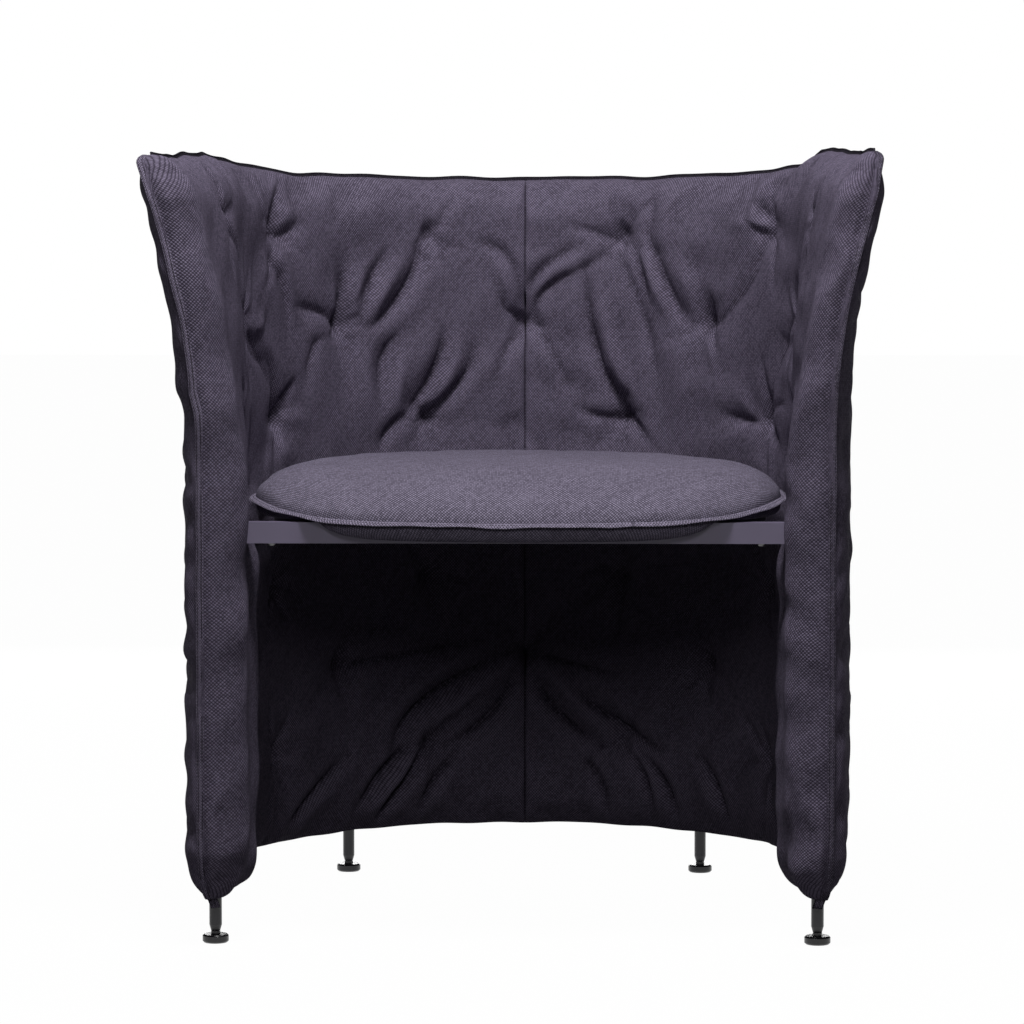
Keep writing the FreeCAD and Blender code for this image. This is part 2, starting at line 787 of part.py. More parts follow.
def inner_side():
    """Everything on the sitter's side of the edge seam, in the right half."""
    levels = quilt_levels()
    bottom, top = levels[0], levels[-1]
    below = (bottom[0] - size.puff_half, *bottom[1:])
    above = (top[0] + size.puff_half, *top[1:])
    sections = []
    for z, half, lean in [below, *levels, above]:
        plan, lift = Plan(*wrap_plan(z)), tilted(z)
        middle, facing = seam_line(plan, half, lean)
        seam = middle + facing * half
        onward = (seam - plan.tangent(lean)).normalize()
        end = lift(seam + onward * 2 * size.puff_half)
        back, bend, tangent = map(lift, (plan.back(lean), plan.bend(lean), plan.tangent(lean)))
        front = lift(Vector(0, end.y, 0))
        edges = [arc(back, bend, tangent), line(tangent, end), line(end, front)]
        sections.append(Part.Wire([*edges, line(front, back)]))
    return Part.makeLoft(sections, True, False)


gap = size.channel_gap
bar_space = rear_bar("bar_space", RIGHT, "sizes.channel_gap")
rail_space = block(
    "rail_space",
    "sizes.front_leg_half_spacing",
    "sizes.rail_deep + 2 * sizes.channel_gap",
    "sizes.rail_tall + 2 * sizes.channel_gap",
    at(
        "0",
        "places.front_leg_y - sizes.rail_deep / 2 - sizes.channel_gap",
        "places.rail_bottom - sizes.channel_gap",
    ),
)
doc.recompute()
channel_radius = place.tube_radius + gap
leg_channels = [
    tube_between(front_leg_path(RIGHT), channel_radius),
    Part.makeCylinder(
        channel_radius,
        size.hoop_height - size.leg_bottom,
        Vector(size.rear_leg_half_spacing, place.rear_leg_y, size.leg_bottom),
    ),
]
lower_channel_radius = size.lower_rail_dia / 2 + gap
rail_channels = [
    tube_between(hoop_path(), channel_radius + gap),
    tube_between(lower_side_path(RIGHT), lower_channel_radius),
    tube_between(lower_back_path(), lower_channel_radius),
]
frame_spaces = leg_channels + [bar_space.Shape, rail_space.Shape]
ties = [tie(point, out) for point, out in tufts()]

outer_form = tufted_quilt(0)
shell = outer_form.cut([tufted_quilt(size.cover_thick), *frame_spaces, *ties])
seam_side = inner_side()
padding = tufted_quilt(size.cover_thick + size.padding_gap)
padding = padding.cut([*frame_spaces, *rail_channels, *ties])
halves = {
    "inner_cover": shell.common(seam_side),
    "outer_cover": shell.cut(seam_side),
    "padding": padding,
}
for name, shape in halves.items():
    node(made(f"{name}_r", shape), f"{name}_right")
    node(made(f"{name}_l", mirrored(shape)), f"{name}_left")

tuft_threads = []
for point, out in tufts():
    tuft_threads.append(tie(point, out))
    if point.x > size.tie_dia:
        tuft_threads.append(mirrored(tie(point, out)))
node(made("threads", Part.Compound(tuft_threads)), "tuft_ties")


def top_flange():
    """The flat sewn band that stands up along the top edge."""
    z, half, lean = quilt_levels()[-1]
    edge = size.flange_thick / 2
    section = half_section(z, lean - edge, lean + edge, SEAM_SHARE * half)
    right = Part.Face(section).extrude(Vector(0, 0, size.flange_wide))
    return right.fuse(mirrored(right)).removeSplitter()


def front_flange():
    """The flat sewn band that stands out along the right front edge."""
    edge = size.flange_thick / 2
    sections = []
    for z, half, lean in quilt_levels():
        plan, lift = Plan(*wrap_plan(z)), tilted(z)
        middle, facing = seam_line(plan, half, lean)
        across = Vector(-facing.y, facing.x, 0) * edge
        start = middle + facing * (half - size.flange_wide / 2)
        end = middle + facing * (half + size.flange_wide)
        corners = [start - across, end - across, end + across, start + across]
        points = [lift(corner) for corner in corners]
        sections.append(Part.makePolygon([*points, points[0]]))
    return Part.makeLoft(sections, True, False).cut(plain_quilt(0))


node(made("top_band", top_flange()), "top_seam_flange")
front_band = front_flange()
node(made("front_band_r", front_band), "front_seam_flange_right")
node(made("front_band_l", mirrored(front_band)), "front_seam_flange_left")

# Seat cushion: crowned foam in a top cover and a band cover, sewn together in a flat flange


def cushion_outline(z, inset=0.0, share=1.0):
    """The cushion's plan at a height: a round back, straight sides and round front corners."""
    half = (size.cushion_half - inset) * share
    ahead = (size.cushion_ahead - inset) * share
    corner = (size.cushion_corner - inset) * share
    slant = math.sqrt(1 / 2)
    straight, side_end = half - corner, corner - ahead

    def spot(x, y):
        return Vector(x, place.cushion_y + y, z)

    def both(x, y):
        return spot(x, y), spot(-x, y)

    back, (right, left) = spot(0, half), both(half, 0)
    right_back, left_back = both(half * slant, half * slant)
    right_side, left_side = both(half, side_end)
    right_bend, left_bend = both(straight + corner * slant, side_end - corner * slant)
    right_front, left_front = both(straight, -ahead)
    return Part.Wire(
        [
            arc(right, right_back, back),
            arc(back, left_back, left),
            line(left, left_side),
            arc(left_side, left_bend, left_front),
            line(left_front, right_front),
            arc(right_front, right_bend, right_side),
            line(right_side, right),
        ]
    )


def cushion_slab(low, high, inset=0.0):
    return Part.Face(cushion_outline(low, inset)).extrude(Vector(0, 0, high - low))


seam_height = place.cushion_bottom + size.cushion_seam_rise


def cushion_form(inset):
    """The cushion, smaller all round by an inset."""
    bottom = place.cushion_bottom + inset
    crown = size.cushion_crown - inset
    foot = 1 - size.cushion_foot_inset / size.cushion_half
    lower = [
        cushion_outline(bottom + up * (seam_height - bottom), inset, foot + out * (1 - foot))
        for up, out in BAND_SHARES
    ]
    upper = [cushion_outline(seam_height + up * crown, inset, out) for up, out in CROWN_SHARES]
    return Part.makeLoft(lower, True, False).fuse(Part.makeLoft(upper, True, False))


cushion = cushion_form(0)
cushion_cover = cushion.cut(cushion_form(size.cover_thick))
below_seam = cushion_slab(place.cushion_bottom - size.flange_wide, seam_height, -size.flange_wide)
cushion_flange = cushion_slab(
    seam_height - size.flange_thick / 2, seam_height + size.flange_thick / 2, -size.flange_wide
)
node(made("foam", cushion_form(size.cover_thick + gap)), "cushion_foam")
node(made("top_cover", cushion_cover.cut(below_seam)), "cushion_top_cover")
node(made("band_cover", cushion_cover.common(below_seam)), "cushion_band_cover")
node(made("cushion_band", cushion_flange.cut(cushion)), "cushion_seam_flange")

# Check every piece, then write each one to its own file

doc.recompute()
for piece in doc.Objects:
    faults = [state for state in piece.State if state in ("Invalid", "Error")]
    if faults:
        raise RuntimeError(f"{piece.Label} is {faults}")
for piece in NODES:
    if piece.Shape.isNull() or not piece.Shape.isValid():
        raise RuntimeError(f"{piece.Label} has no valid shape")
for piece in NODES:
    piece.Shape.exportStep(f"parts/{piece.Label}.step")
print(f"{len(NODES)} pieces written")
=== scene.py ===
import math
from itertools import product

import bpy
import numpy as np
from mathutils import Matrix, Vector


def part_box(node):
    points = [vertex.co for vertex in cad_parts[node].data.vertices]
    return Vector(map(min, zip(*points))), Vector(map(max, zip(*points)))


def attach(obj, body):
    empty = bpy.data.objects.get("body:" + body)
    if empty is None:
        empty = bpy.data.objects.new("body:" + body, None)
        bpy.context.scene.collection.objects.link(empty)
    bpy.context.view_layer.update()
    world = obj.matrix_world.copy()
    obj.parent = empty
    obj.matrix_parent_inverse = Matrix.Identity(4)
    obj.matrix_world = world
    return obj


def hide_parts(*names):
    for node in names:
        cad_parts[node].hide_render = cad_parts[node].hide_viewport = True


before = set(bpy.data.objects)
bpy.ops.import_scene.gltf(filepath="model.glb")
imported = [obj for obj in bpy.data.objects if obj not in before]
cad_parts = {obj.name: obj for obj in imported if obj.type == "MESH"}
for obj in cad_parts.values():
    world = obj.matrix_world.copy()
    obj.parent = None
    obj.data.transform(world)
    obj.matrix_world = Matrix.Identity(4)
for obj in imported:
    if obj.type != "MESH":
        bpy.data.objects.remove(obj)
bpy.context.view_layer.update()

# A lounge chair with a tufted horseshoe quilt and a loose seat cushion. Metres, +Z up, the front
# faces -Y and the origin is on the floor. Left is -X.

SIDES = (("right", 1), ("left", -1))

# Sizes of the quilt's plan, as the frame has them

LEG_HALF = 0.287
LEG_AHEAD = 0.215
BACK_RADIUS = 0.302
CENTRE_Y = -0.037
FRONT_BEYOND = 0.013
BACK_FLARE = 0.25
BEND_HEIGHT = 0.47
BEND_RADIUS = 0.8
BEND_ANGLE = math.radians(10)
WRAP_BOTTOM = 0.046
WRAP_TOP = 0.738
FRONT_DROP = 0.008
FRONT_RISE = 0.012
TOP_LEAN = 0.012

# The quilt's section: height and half thickness

QUILT_SECTION = (
    (0.0446, 0.0452, 0.0475, 0.0525, 0.061, 0.075, 0.095, 0.12, 0.68, 0.7, 0.715, 0.728, 0.735,
     0.7385, 0.7395),
    (0.0012, 0.006, 0.0098, 0.0142, 0.019, 0.0232, 0.0258, 0.0264, 0.0262, 0.0252, 0.0222,
     0.0168, 0.011, 0.0058, 0.0012),
)
LEAN_FROM = 0.68
CORNER_LENGTH = 0.18
CORNER_THINNING = 0.12
FRONT_LENGTH = 0.11
FRONT_LIFT = 0.007
SEAM_PULL = 0.0055

# How far the front corners stand out at each height, and how the top edge rises at each place
# along the quilt; the photograph's left and right differ a little

CORNER_OUT = {
    1: ((0.5, 0.6, 0.634, 0.66, 0.7, 0.74), (0.0, 0.0003, 0.0016, 0.0034, 0.0074, 0.0005)),
    -1: (
        (0.5, 0.52, 0.58, 0.61, 0.66, 0.7, 0.74),
        (0.0, 0.004, 0.0042, 0.0068, 0.0097, 0.0135, 0.013),
    ),
}
TOP_RISE = {
    1: (
        (0.27, 0.355, 0.385, 0.41, 0.48, 0.6, 0.72),
        (0.0, 0.004, 0.009, 0.016, 0.013, 0.003, 0.0),
    ),
    -1: (
        (0.27, 0.33, 0.4, 0.47, 0.55, 0.62, 0.72),
        (0.0, 0.003, 0.007, 0.01, 0.006, -0.001, -0.003),
    ),
}
CELL = 0.0064
LEG_HEIGHT = 0.3
TIP_INNER_STEPS = 9
TIP_OUTER_STEPS = 5
SEAM_SIDE = 0.4
OUTER_FULLNESS = 0.93

# How the quilt changes towards its front: slimmer above the seat, fuller under it, with lengths
# counted back from the front edge

ALL_FRONT = 0.01
WING_LENGTH = (0.12, 0.02)
WING_SLIM = 0.32
WING_HEIGHTS = (0.44, 0.56)
LOW_WING_FULL = 0.12
LOW_WING_HEIGHTS = (0.44, 0.5)
CORNER_HEIGHTS = (0.56, 0.7)
LIFT_HEIGHTS = (0.05, 0.115)
RISE_HEIGHTS = (0.66, 0.735)
BACK_LEAN = 0.25
SIDE_PLACES = (0.35, 0.6)
INNER_PUFF = 0.0088
PUFF_AHEAD = 0.052
PUFF_WIDTH = 0.021
PUFF_HEIGHTS = (0.36, 0.395)

# Seams, edges and unevenness

CENTRE_PULL = 0.003
CENTRE_WIDTH = 0.0045
TOP_EDGE = (0.7, 0.74)
TOP_WAVE = 0.0016
BOTTOM_EDGE = (0.045, 0.075)
BOTTOM_WAVE = 0.0014
EDGE_WAVES = (0.21, 0.13, 0.083, 0.057)
SOFT_WAVES = 14
SOFT_WAVE_LENGTHS = (0.035, 0.11)
SOFT_WAVE_HEIGHT = 0.0016
SOFT_THICKNESS = (0.004, 0.022)
TIP_STRETCH = 1.2
CLOTH_THICKNESS = 0.026
LIP = 0.0035
LIP_SHARE = 0.35

# Tufts: heights of the rows, and places along the quilt from the centre seam

ROW_HEIGHTS = (0.14, 0.23, 0.315, 0.4, 0.484, 0.585, 0.68)
EVEN_ROW = (0.115, 0.345, 0.575)
ODD_ROW = (0.0, 0.23, 0.46)
TUFT_DEPTH = 0.0185
TUFT_PIT = 0.0095
TUFT_BOWL = 0.03
TUFT_SEWN = 0.006
OUTER_TUFT_SHARE = 0.55
SIDE_CALM = 0.4
CALM_PLACES = (0.36, 0.44)

# Folds that run out from each tuft, made by formula

FOLD_COUNT = (6, 9)
FOLD_START = 0.006
FOLD_REACH = (0.03, 0.075)
FOLD_BEND = 0.25
FOLD_HEIGHT = (0.0015, 0.0034)
FOLD_WIDTH = (0.0045, 0.008)
FOLD_FAINT = 0.45
CREASE_DEPTH = 0.42
CREASE_WIDTH = 0.003
CREASE_BOTTOM = (0.047, 0.06)
CREASE_TOP = (0.722, 0.737)
UNDER_SEAT = 0.26
UNDER_SEAT_FOLDS = 1.9

# Folds that the photograph shows on the sitter's side: three points along the quilt and up, in
# mm, then how far the fold stands out towards the sitter and how wide it is, in tenths of a mm

FOLDS = (
    (-228, 645, -229, 610, -234, 585, -55, 75), (-215, 650, -212, 615, -220, 580, 40, 90),
    (-170, 660, -190, 630, -203, 592, -55, 65), (-150, 650, -178, 615, -200, 580, 45, 80),
    (-128, 668, -145, 622, -190, 580, -70, 85), (-130, 662, -120, 655, -114, 640, -30, 50),
    (-148, 575, -174, 545, -176, 495, -45, 95), (-195, 570, -200, 530, -190, 480, 40, 140),
    (-138, 560, -155, 520, -165, 485, 60, 110), (-98, 575, -109, 535, -142, 486, -85, 80),
    (-142, 487, -165, 475, -178, 452, -55, 75), (-80, 570, -90, 530, -125, 495, 45, 85),
    (-62, 560, -75, 525, -120, 486, -55, 70), (-12, 575, -28, 545, -36, 515, -35, 60),
    (-56, 672, -16, 650, -4, 595, -50, 60), (-40, 655, -24, 635, -14, 600, 30, 80),
    (-28, 615, -24, 600, -4, 588, -40, 55), (-350, 678, -325, 675, -296, 688, -40, 75),
    (-325, 715, -318, 700, -325, 684, 22, 75), (-372, 690, -345, 660, -315, 590, 60, 90),
    (-360, 650, -335, 620, -325, 580, -50, 90), (-448, 580, -415, 560, -345, 505, -36, 120),
    (-430, 590, -395, 570, -330, 525, 26, 120), (-272, 570, -284, 550, -292, 525, -35, 80),
    (-310, 602, -268, 596, -236, 582, -50, 80), (68, 668, 12, 635, 5, 592, -50, 60),
    (72, 655, 26, 630, 14, 602, 35, 80), (74, 643, 16, 610, 26, 565, -50, 60),
    (74, 642, 86, 560, 120, 490, -85, 78), (120, 490, 132, 480, 150, 462, -55, 70),
    (96, 615, 105, 560, 148, 480, 60, 110), (114, 655, 145, 590, 166, 505, -60, 85),
    (132, 662, 143, 635, 150, 605, -45, 55), (152, 662, 163, 625, 186, 585, 55, 70),
    (150, 678, 174, 630, 198, 588, -70, 70), (194, 655, 212, 610, 226, 575, 50, 80),
    (185, 570, 196, 535, 190, 480, 45, 130), (50, 690, 96, 677, 122, 668, -45, 60),
    (152, 715, 154, 695, 148, 676, -35, 60), (175, 722, 174, 700, 172, 675, 30, 80),
    (320, 722, 311, 702, 318, 682, 30, 70), (300, 690, 330, 674, 350, 682, -50, 60),
    (62, 497, 88, 486, 118, 486, -45, 60), (260, 492, 305, 484, 350, 486, -50, 75),
    (28, 565, 44, 535, 58, 515, -30, 60), (330, 660, 300, 620, 240, 580, -45, 90),
    (440, 590, 400, 560, 350, 500, -36, 120), (-18, 232, -115, 185, -160, 138, -70, 85),
    (-20, 218, -90, 172, -140, 125, 45, 90), (-18, 200, -44, 162, -96, 132, -55, 80),
    (12, 205, 42, 165, 92, 132, -60, 80), (20, 218, 70, 180, 110, 150, 45, 80),
    (60, 195, 106, 160, 170, 132, -60, 80), (12, 230, 60, 218, 115, 210, -40, 80),
    (-240, 226, -170, 230, -60, 246, -40, 90), (-140, 135, -172, 110, -212, 72, -55, 70),
    (-120, 130, -150, 95, -176, 60, -50, 65), (-130, 125, -160, 100, -192, 66, 40, 65),
    (-80, 125, -108, 95, -124, 66, -45, 65), (120, 135, 148, 100, 150, 66, -45, 65),
    (140, 130, 172, 100, 184, 62, -50, 65), (66, 125, 90, 95, 98, 66, -40, 65),
    (-225, 130, -282, 92, -318, 68, -55, 75), (225, 130, 252, 98, 262, 66, -50, 75),
)

# Seam flanges and stitches

FLANGE_WIDE = 0.008
FLANGE_SECTION = (
    (-0.0026, 0.001, 0.0022, 0.0031, 0.0044, 0.0057, 0.0067, 0.0073, 0.0077, 0.008),
    (0.0009, 0.0008, 0.0002, 0.0011, 0.0016, 0.0012, 0.0003, 0.001, 0.0009, 0.0004),
)
CUSHION_BAND_SIZE = (0.88, 0.62)
BAND_SINK = 0.0046
TOP_BAND_LEAN = 0.1
STITCH_ROWS = (0.0022, 0.0067)
STITCH_PITCH = 0.0038
STITCH_START = 0.014
STITCH_LONG = 0.0034
STITCH_HALVES = (0.5, 0.32)
STITCH_SIDES = 5
STITCH_DIP = 0.6
THREAD_RADIUS = 0.0007
BAND_STEP = 0.003
BAND_END_WIDTH = 0.35
BAND_END_LENGTH = 0.012
BAND_CLOSING = 0.02
FRONT_BAND_WAY = (0.84, 0.54)
FRONT_BAND_TAIL = (-0.003, -0.001, -0.008)

# Threads of the tufts

TIE_RADIUS = 0.0009
TIE_INSET = 0.002
CROSS_RADIUS = 0.0007
CROSS_DEPTH = 0.0012
CROSS_REACH = 0.0026
CROSS_RISE = 0.0022

# Seat cushion

CUSHION_Y = -0.033
CUSHION_HALF = 0.256
CUSHION_CORNER = 0.144
CUSHION_BOTTOM = 0.4026
CUSHION_SEAM = 0.018
CUSHION_FOOT = (
    (0.02, 0.955, 0.98, 0.993, 1.0, 0.999, 1.0),
    (0.0, 0.0, 0.0012, 0.0045, 0.0095, 0.015, CUSHION_SEAM),
)
CUSHION_CROWN = (
    (1.0, 0.995, 0.985, 0.968, 0.94, 0.9, 0.84, 0.76, 0.64, 0.4, 0.2, 0.02),
    (0.0, 0.005, 0.01, 0.0152, 0.0208, 0.0258, 0.0298, 0.032, 0.0331, 0.0337, 0.0339, 0.034),
)
CUSHION_SAG = 0.0188
SAG_DEPTHS = (0.165, 0.285)
SAG_HALF_WIDTH = 0.17
FOOT_DROP = 0.019
FOOT_LENGTH = 0.009
FOOT_AHEAD = 0.0015
RAIL_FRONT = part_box("front_rail")[0].y
CUSHION_CELL = 0.0068
MIDDLE_SHARE = 0.22
PUCKER_WAVES = (31, 43, 57, 71)
PUCKER_HEIGHT = 0.00045
PUCKER_REACH = 0.013
LUMPS = 10
LUMP_LENGTHS = (0.07, 0.18)
LUMP_HEIGHT = 0.00022
BAND_HANG = (0.12, 0.3)
HANG_DEPTHS = (0.12, 0.28)

RNG = np.random.default_rng(7)


# The quilt's plan: a round back and straight sides through the front legs


def front_half(z):
    """Half the distance between the front legs at a height."""
    end = BEND_HEIGHT + BEND_RADIUS * math.sin(BEND_ANGLE)
    rise = np.clip(z - BEND_HEIGHT, 0, end - BEND_HEIGHT)
    bent = BEND_RADIUS - np.sqrt(BEND_RADIUS**2 - rise**2)
    return LEG_HALF + bent + np.maximum(z - end, 0) * math.tan(BEND_ANGLE)


def plan_at(z):
    """The plan at a height: back radius, angle at its end, lengths of the arc and the side."""
    half = front_half(z)
    radius = BACK_RADIUS + BACK_FLARE * (half - LEG_HALF)
    reach = np.hypot(half, LEG_AHEAD)
    angle = np.arctan2(-LEG_AHEAD, half) + np.arccos(radius / reach)
    arc = radius * (np.pi / 2 - angle)
    return radius, angle, arc, np.sqrt(reach**2 - radius**2)


def middle_line(s, z):
    """Point and outward direction on the quilt's middle line, s from the back along the right."""
    radius, angle, arc, _ = plan_at(z)
    turn = np.maximum(np.pi / 2 - s / radius, angle)
    out = np.stack([np.cos(turn), np.sin(turn)], -1)
    forward = np.stack([np.sin(angle), -np.cos(angle)], -1)
    beyond = np.maximum(s - arc, 0)
    point = out * radius[..., None] + forward * beyond[..., None]
    point[..., 1] += CENTRE_Y
    return point, out, forward


def quilt_length(z):
    """From the back's middle to the front edge, along the middle line."""
    _, _, arc, straight = plan_at(z)
    return arc + straight + FRONT_BEYOND


def lifted(y, z):
    """Height of a level that rises or drops a little from back to front."""
    share = (z - WRAP_BOTTOM) / (WRAP_TOP - WRAP_BOTTOM)
    tilt = share * (FRONT_RISE + FRONT_DROP) - FRONT_DROP
    return z + tilt * (CENTRE_Y + BACK_RADIUS - y) / (BACK_RADIUS + LEG_AHEAD)


def lengths(points):
    """How far along a line each of its points lies."""
    return np.concatenate([[0], np.cumsum(np.linalg.norm(np.diff(points, axis=0), axis=1))])


def resampled(points, step, *more):
    """A line of points at an even step, other values of the points, and the places along it."""
    along = lengths(points)
    at = np.linspace(0, along[-1], max(2, round(along[-1] / step) + 1))
    lines = [
        np.stack([np.interp(at, along, column) for column in values.T], -1)
        for values in (points, *more)
    ]
    return *lines, at


def ramp(value, low, high):
    """Rises smoothly from 0 to 1."""
    share = np.clip((value - low) / (high - low), 0, 1)
    return share * share * (3 - 2 * share)


def fall(value, low, high):
    """Falls smoothly from 1 to 0."""
    return ramp(-value, -high, -low)


def bell(value, width):
    return np.exp(-((value / width) ** 2))


def unit(values):
    return values / np.linalg.norm(values, axis=-1, keepdims=True)


# Folds and tufts of the quilt


def fold_field(s, z, folds):
    """How far folds push the cloth out at places along the quilt."""
    reach, flank_place, flank_width, flank_depth, end_share = 4, 2.1, 1.1, 0.3, 0.04
    total = np.zeros_like(s)
    t = np.linspace(0, 1, 28)[:, None]
    for start, middle, end, height, width in folds:
        control = 2 * middle - (start + end) / 2
        path = (1 - t) ** 2 * start + 2 * t * (1 - t) * control + t**2 * end
        low, high = path.min(0) - reach * width, path.max(0) + reach * width
        near = (s > low[0]) & (s < high[0]) & (z > low[1]) & (z < high[1])
        if not near.any():
            continue
        spots = np.stack([s[near], z[near]], -1)[:, None, :]
        gaps = ((spots - path) ** 2).sum(-1)
        distance = np.sqrt(gaps.min(1))
        along = np.clip(t[gaps.argmin(1), 0], end_share, 1 - end_share)
        flank = bell(distance - flank_place * width, flank_width * width)
        shape = bell(distance, width) - flank_depth * flank
        total[near] += height * np.sin(np.pi * along) ** 0.6 * shape
    return total


# Places of the tufts, along the quilt from the centre seam and up

RIGHT_TUFTS = [
    (s, z) for row, z in enumerate(ROW_HEIGHTS) for s in (ODD_ROW if row % 2 else EVEN_ROW)
]
TUFTS = RIGHT_TUFTS + [(-s, z) for s, z in RIGHT_TUFTS if s > 0]


def random_folds(strength, hand_placed):
    """Soft folds that run out from every tuft, weaker where the listed folds lie."""
    folds = []
    for s, z in TUFTS:
        count = RNG.integers(*FOLD_COUNT)
        first = RNG.uniform(0, 2 * np.pi)
        for index in range(count):
            turn = first + 2 * np.pi * (index + RNG.uniform(-0.3, 0.3)) / count
            reach = RNG.uniform(*FOLD_REACH)
            direction = np.array([math.cos(turn), math.sin(turn)])
            bend = RNG.uniform(-FOLD_BEND, FOLD_BEND)
            across = np.array([-direction[1], direction[0]]) * bend
            start = np.array([s, z]) + direction * FOLD_START
            end = start + direction * reach
            middle = (start + end) / 2 + across * reach
            height = RNG.choice([-1, 1]) * RNG.uniform(*FOLD_HEIGHT) * strength
            by_hand = hand_placed and abs(s) < 0.30 and (z > 0.45 or z < UNDER_SEAT)
            height *= FOLD_FAINT if by_hand else 1
            folds.append((start, middle, end, height, RNG.uniform(*FOLD_WIDTH)))
    return folds


def near_tufts(s, z, reach):
    """For each tuft: the places near it, how far from it they are, and which way."""
    for tuft_s, tuft_z in TUFTS:
        gap = np.hypot(s - tuft_s, z - tuft_z)
        near = gap < reach
        if near.any():
            yield near, gap[near], np.arctan2(z[near] - tuft_z, s[near] - tuft_s)


def tuft_field(s, z):
    """How far the tufts draw the cloth in, with small pleats round each."""
    pit_share, pleat_place, pleat_width, pleat_height = 0.6, 0.015, 0.009, 0.0011
    total = np.zeros_like(s)
    for near, gap, turn in near_tufts(s, z, 4 * TUFT_BOWL):
        pit = pit_share * bell(gap, TUFT_PIT) + (1 - pit_share) * bell(gap, TUFT_BOWL)
        pleats = np.cos(RNG.integers(5, 8) * turn + RNG.uniform(0, 6))
        ring = bell(gap - pleat_place, pleat_width)
        total[near] -= TUFT_DEPTH * pit - pleat_height * pleats * ring
    return total


def random_waves(x, y, count, wave_lengths):
    """Waves of random way and length over a surface."""
    for _ in range(count):
        turn, length = RNG.uniform(0, 2 * np.pi), RNG.uniform(*wave_lengths)
        wave = (x * math.cos(turn) + y * math.sin(turn)) * 2 * np.pi / length
        yield np.sin(wave + RNG.uniform(0, 6))


def edge_wave(s, height, seed):
    """A slow uneven wave along a sewn edge."""
    draw = np.random.default_rng(seed)
    total = np.zeros_like(s)
    for length in EDGE_WAVES:
        total += np.sin(2 * np.pi * s / length + draw.uniform(0, 6)) * draw.uniform(0.3, 1)
    return total * height / 2


# The quilt as one closed grid: rows go up, and columns go along the right half's inner side to
# its front, back along its outer side, and round the left half the same way


section, SECTION_AT = resampled(np.array(QUILT_SECTION).T, CELL)
ROWS = len(section)
HEIGHT, THICK = section[:, 0], section[:, 1]
LEAN = TOP_LEAN * np.clip((HEIGHT - LEAN_FROM) / (WRAP_TOP - LEAN_FROM), 0, 1.02) ** 2.2
SIDE_STEPS = round(float(quilt_length(np.array(LEG_HEIGHT))) / CELL)
TIP_STEPS = TIP_INNER_STEPS + TIP_OUTER_STEPS
HALF_COLUMNS = 2 * (SIDE_STEPS + 1) + TIP_STEPS - 1
SEAM_COLUMN = SIDE_STEPS + TIP_INNER_STEPS


def half_grid(side):
    """One half of the quilt: places, spots on the quilt and places along the cloth."""
    share = np.linspace(0, 1, SIDE_STEPS + 1)
    inner_turn = np.linspace(0, np.pi / 2, TIP_INNER_STEPS + 1)[1:]
    outer_turn = np.linspace(np.pi / 2, np.pi, TIP_OUTER_STEPS + 1)[1:-1]
    turn = np.concatenate([inner_turn, outer_turn])
    z = np.repeat(HEIGHT[:, None], HALF_COLUMNS, 1)
    length = quilt_length(z)

    def all_columns(inner, tip, outer):
        return np.concatenate([inner + 0 * share, tip, outer + 0 * share])

    def to_front(far, near=ALL_FRONT):
        return ramp(s, length - far, length - near)

    s = all_columns(share, np.ones(TIP_STEPS - 1), share[::-1]) * length
    point, out, forward = middle_line(s, z)
    wide = np.where(turn <= np.pi / 2, 1 + SEAM_SIDE, 1 - SEAM_SIDE)
    swing = all_columns(-1, SEAM_SIDE - wide * np.cos(turn), 1)
    ahead = all_columns(0, np.sin(turn), 0)
    slope = all_columns(-1, -np.cos(turn) / wide, 1)
    slim = WING_SLIM * ramp(z, *WING_HEIGHTS) - LOW_WING_FULL * fall(z, *LOW_WING_HEIGHTS)
    slim = 1 - to_front(*WING_LENGTH) * slim
    wing = np.where(swing < 0, slim, OUTER_FULLNESS) * swing
    spread = out * wing[..., None] + forward * ahead[:, None]
    facing = unit(out * slope[:, None] + forward * ahead[:, None])
    front = to_front(CORNER_LENGTH)
    thick = THICK[:, None] * (1 - CORNER_THINNING * (front * ramp(z, *CORNER_HEIGHTS)))
    beside = front * np.interp(z, *CORNER_OUT[side]) * ramp(swing, -1, SEAM_SIDE)
    shift = LEAN[:, None] * (BACK_LEAN + (1 - BACK_LEAN) * ramp(s, *SIDE_PLACES)) + beside
    place = point + out * shift[..., None] + spread * thick[..., None]
    bent = all_columns(0, TIP_STRETCH * np.minimum(turn, np.pi - turn), 0)
    around = s + THICK[:, None] * bent
    beyond = all_columns(0, TIP_STRETCH * turn, TIP_STRETCH * np.pi)
    inner = beyond <= TIP_STRETCH * np.pi / 2
    push = cloth_push(side, s, z, around, swing, slim, inner)
    place = place + facing * push[..., None]
    level = lifted(place[..., 1], z)
    level += ramp(z, *TOP_EDGE) * edge_wave(side * s, TOP_WAVE, 3)
    level += fall(z, *BOTTOM_EDGE) * edge_wave(side * s, BOTTOM_WAVE, 4)
    level += ramp(z, *RISE_HEIGHTS) * np.interp(s, *TOP_RISE[side])
    level += FRONT_LIFT * to_front(FRONT_LENGTH) * fall(z, *LIFT_HEIGHTS)
    place = np.concatenate([place, level[..., None]], -1)
    place[..., 0] *= side
    across = np.where(inner, s, 2 * length - s)
    across += np.minimum(THICK[:, None], CLOTH_THICKNESS) * beyond
    spot = np.stack([around * side, z, np.broadcast_to(inner, z.shape)], -1)
    cloth = np.stack([side * across, np.repeat(SECTION_AT[:, None], HALF_COLUMNS, 1)], -1)
    return place, spot, cloth


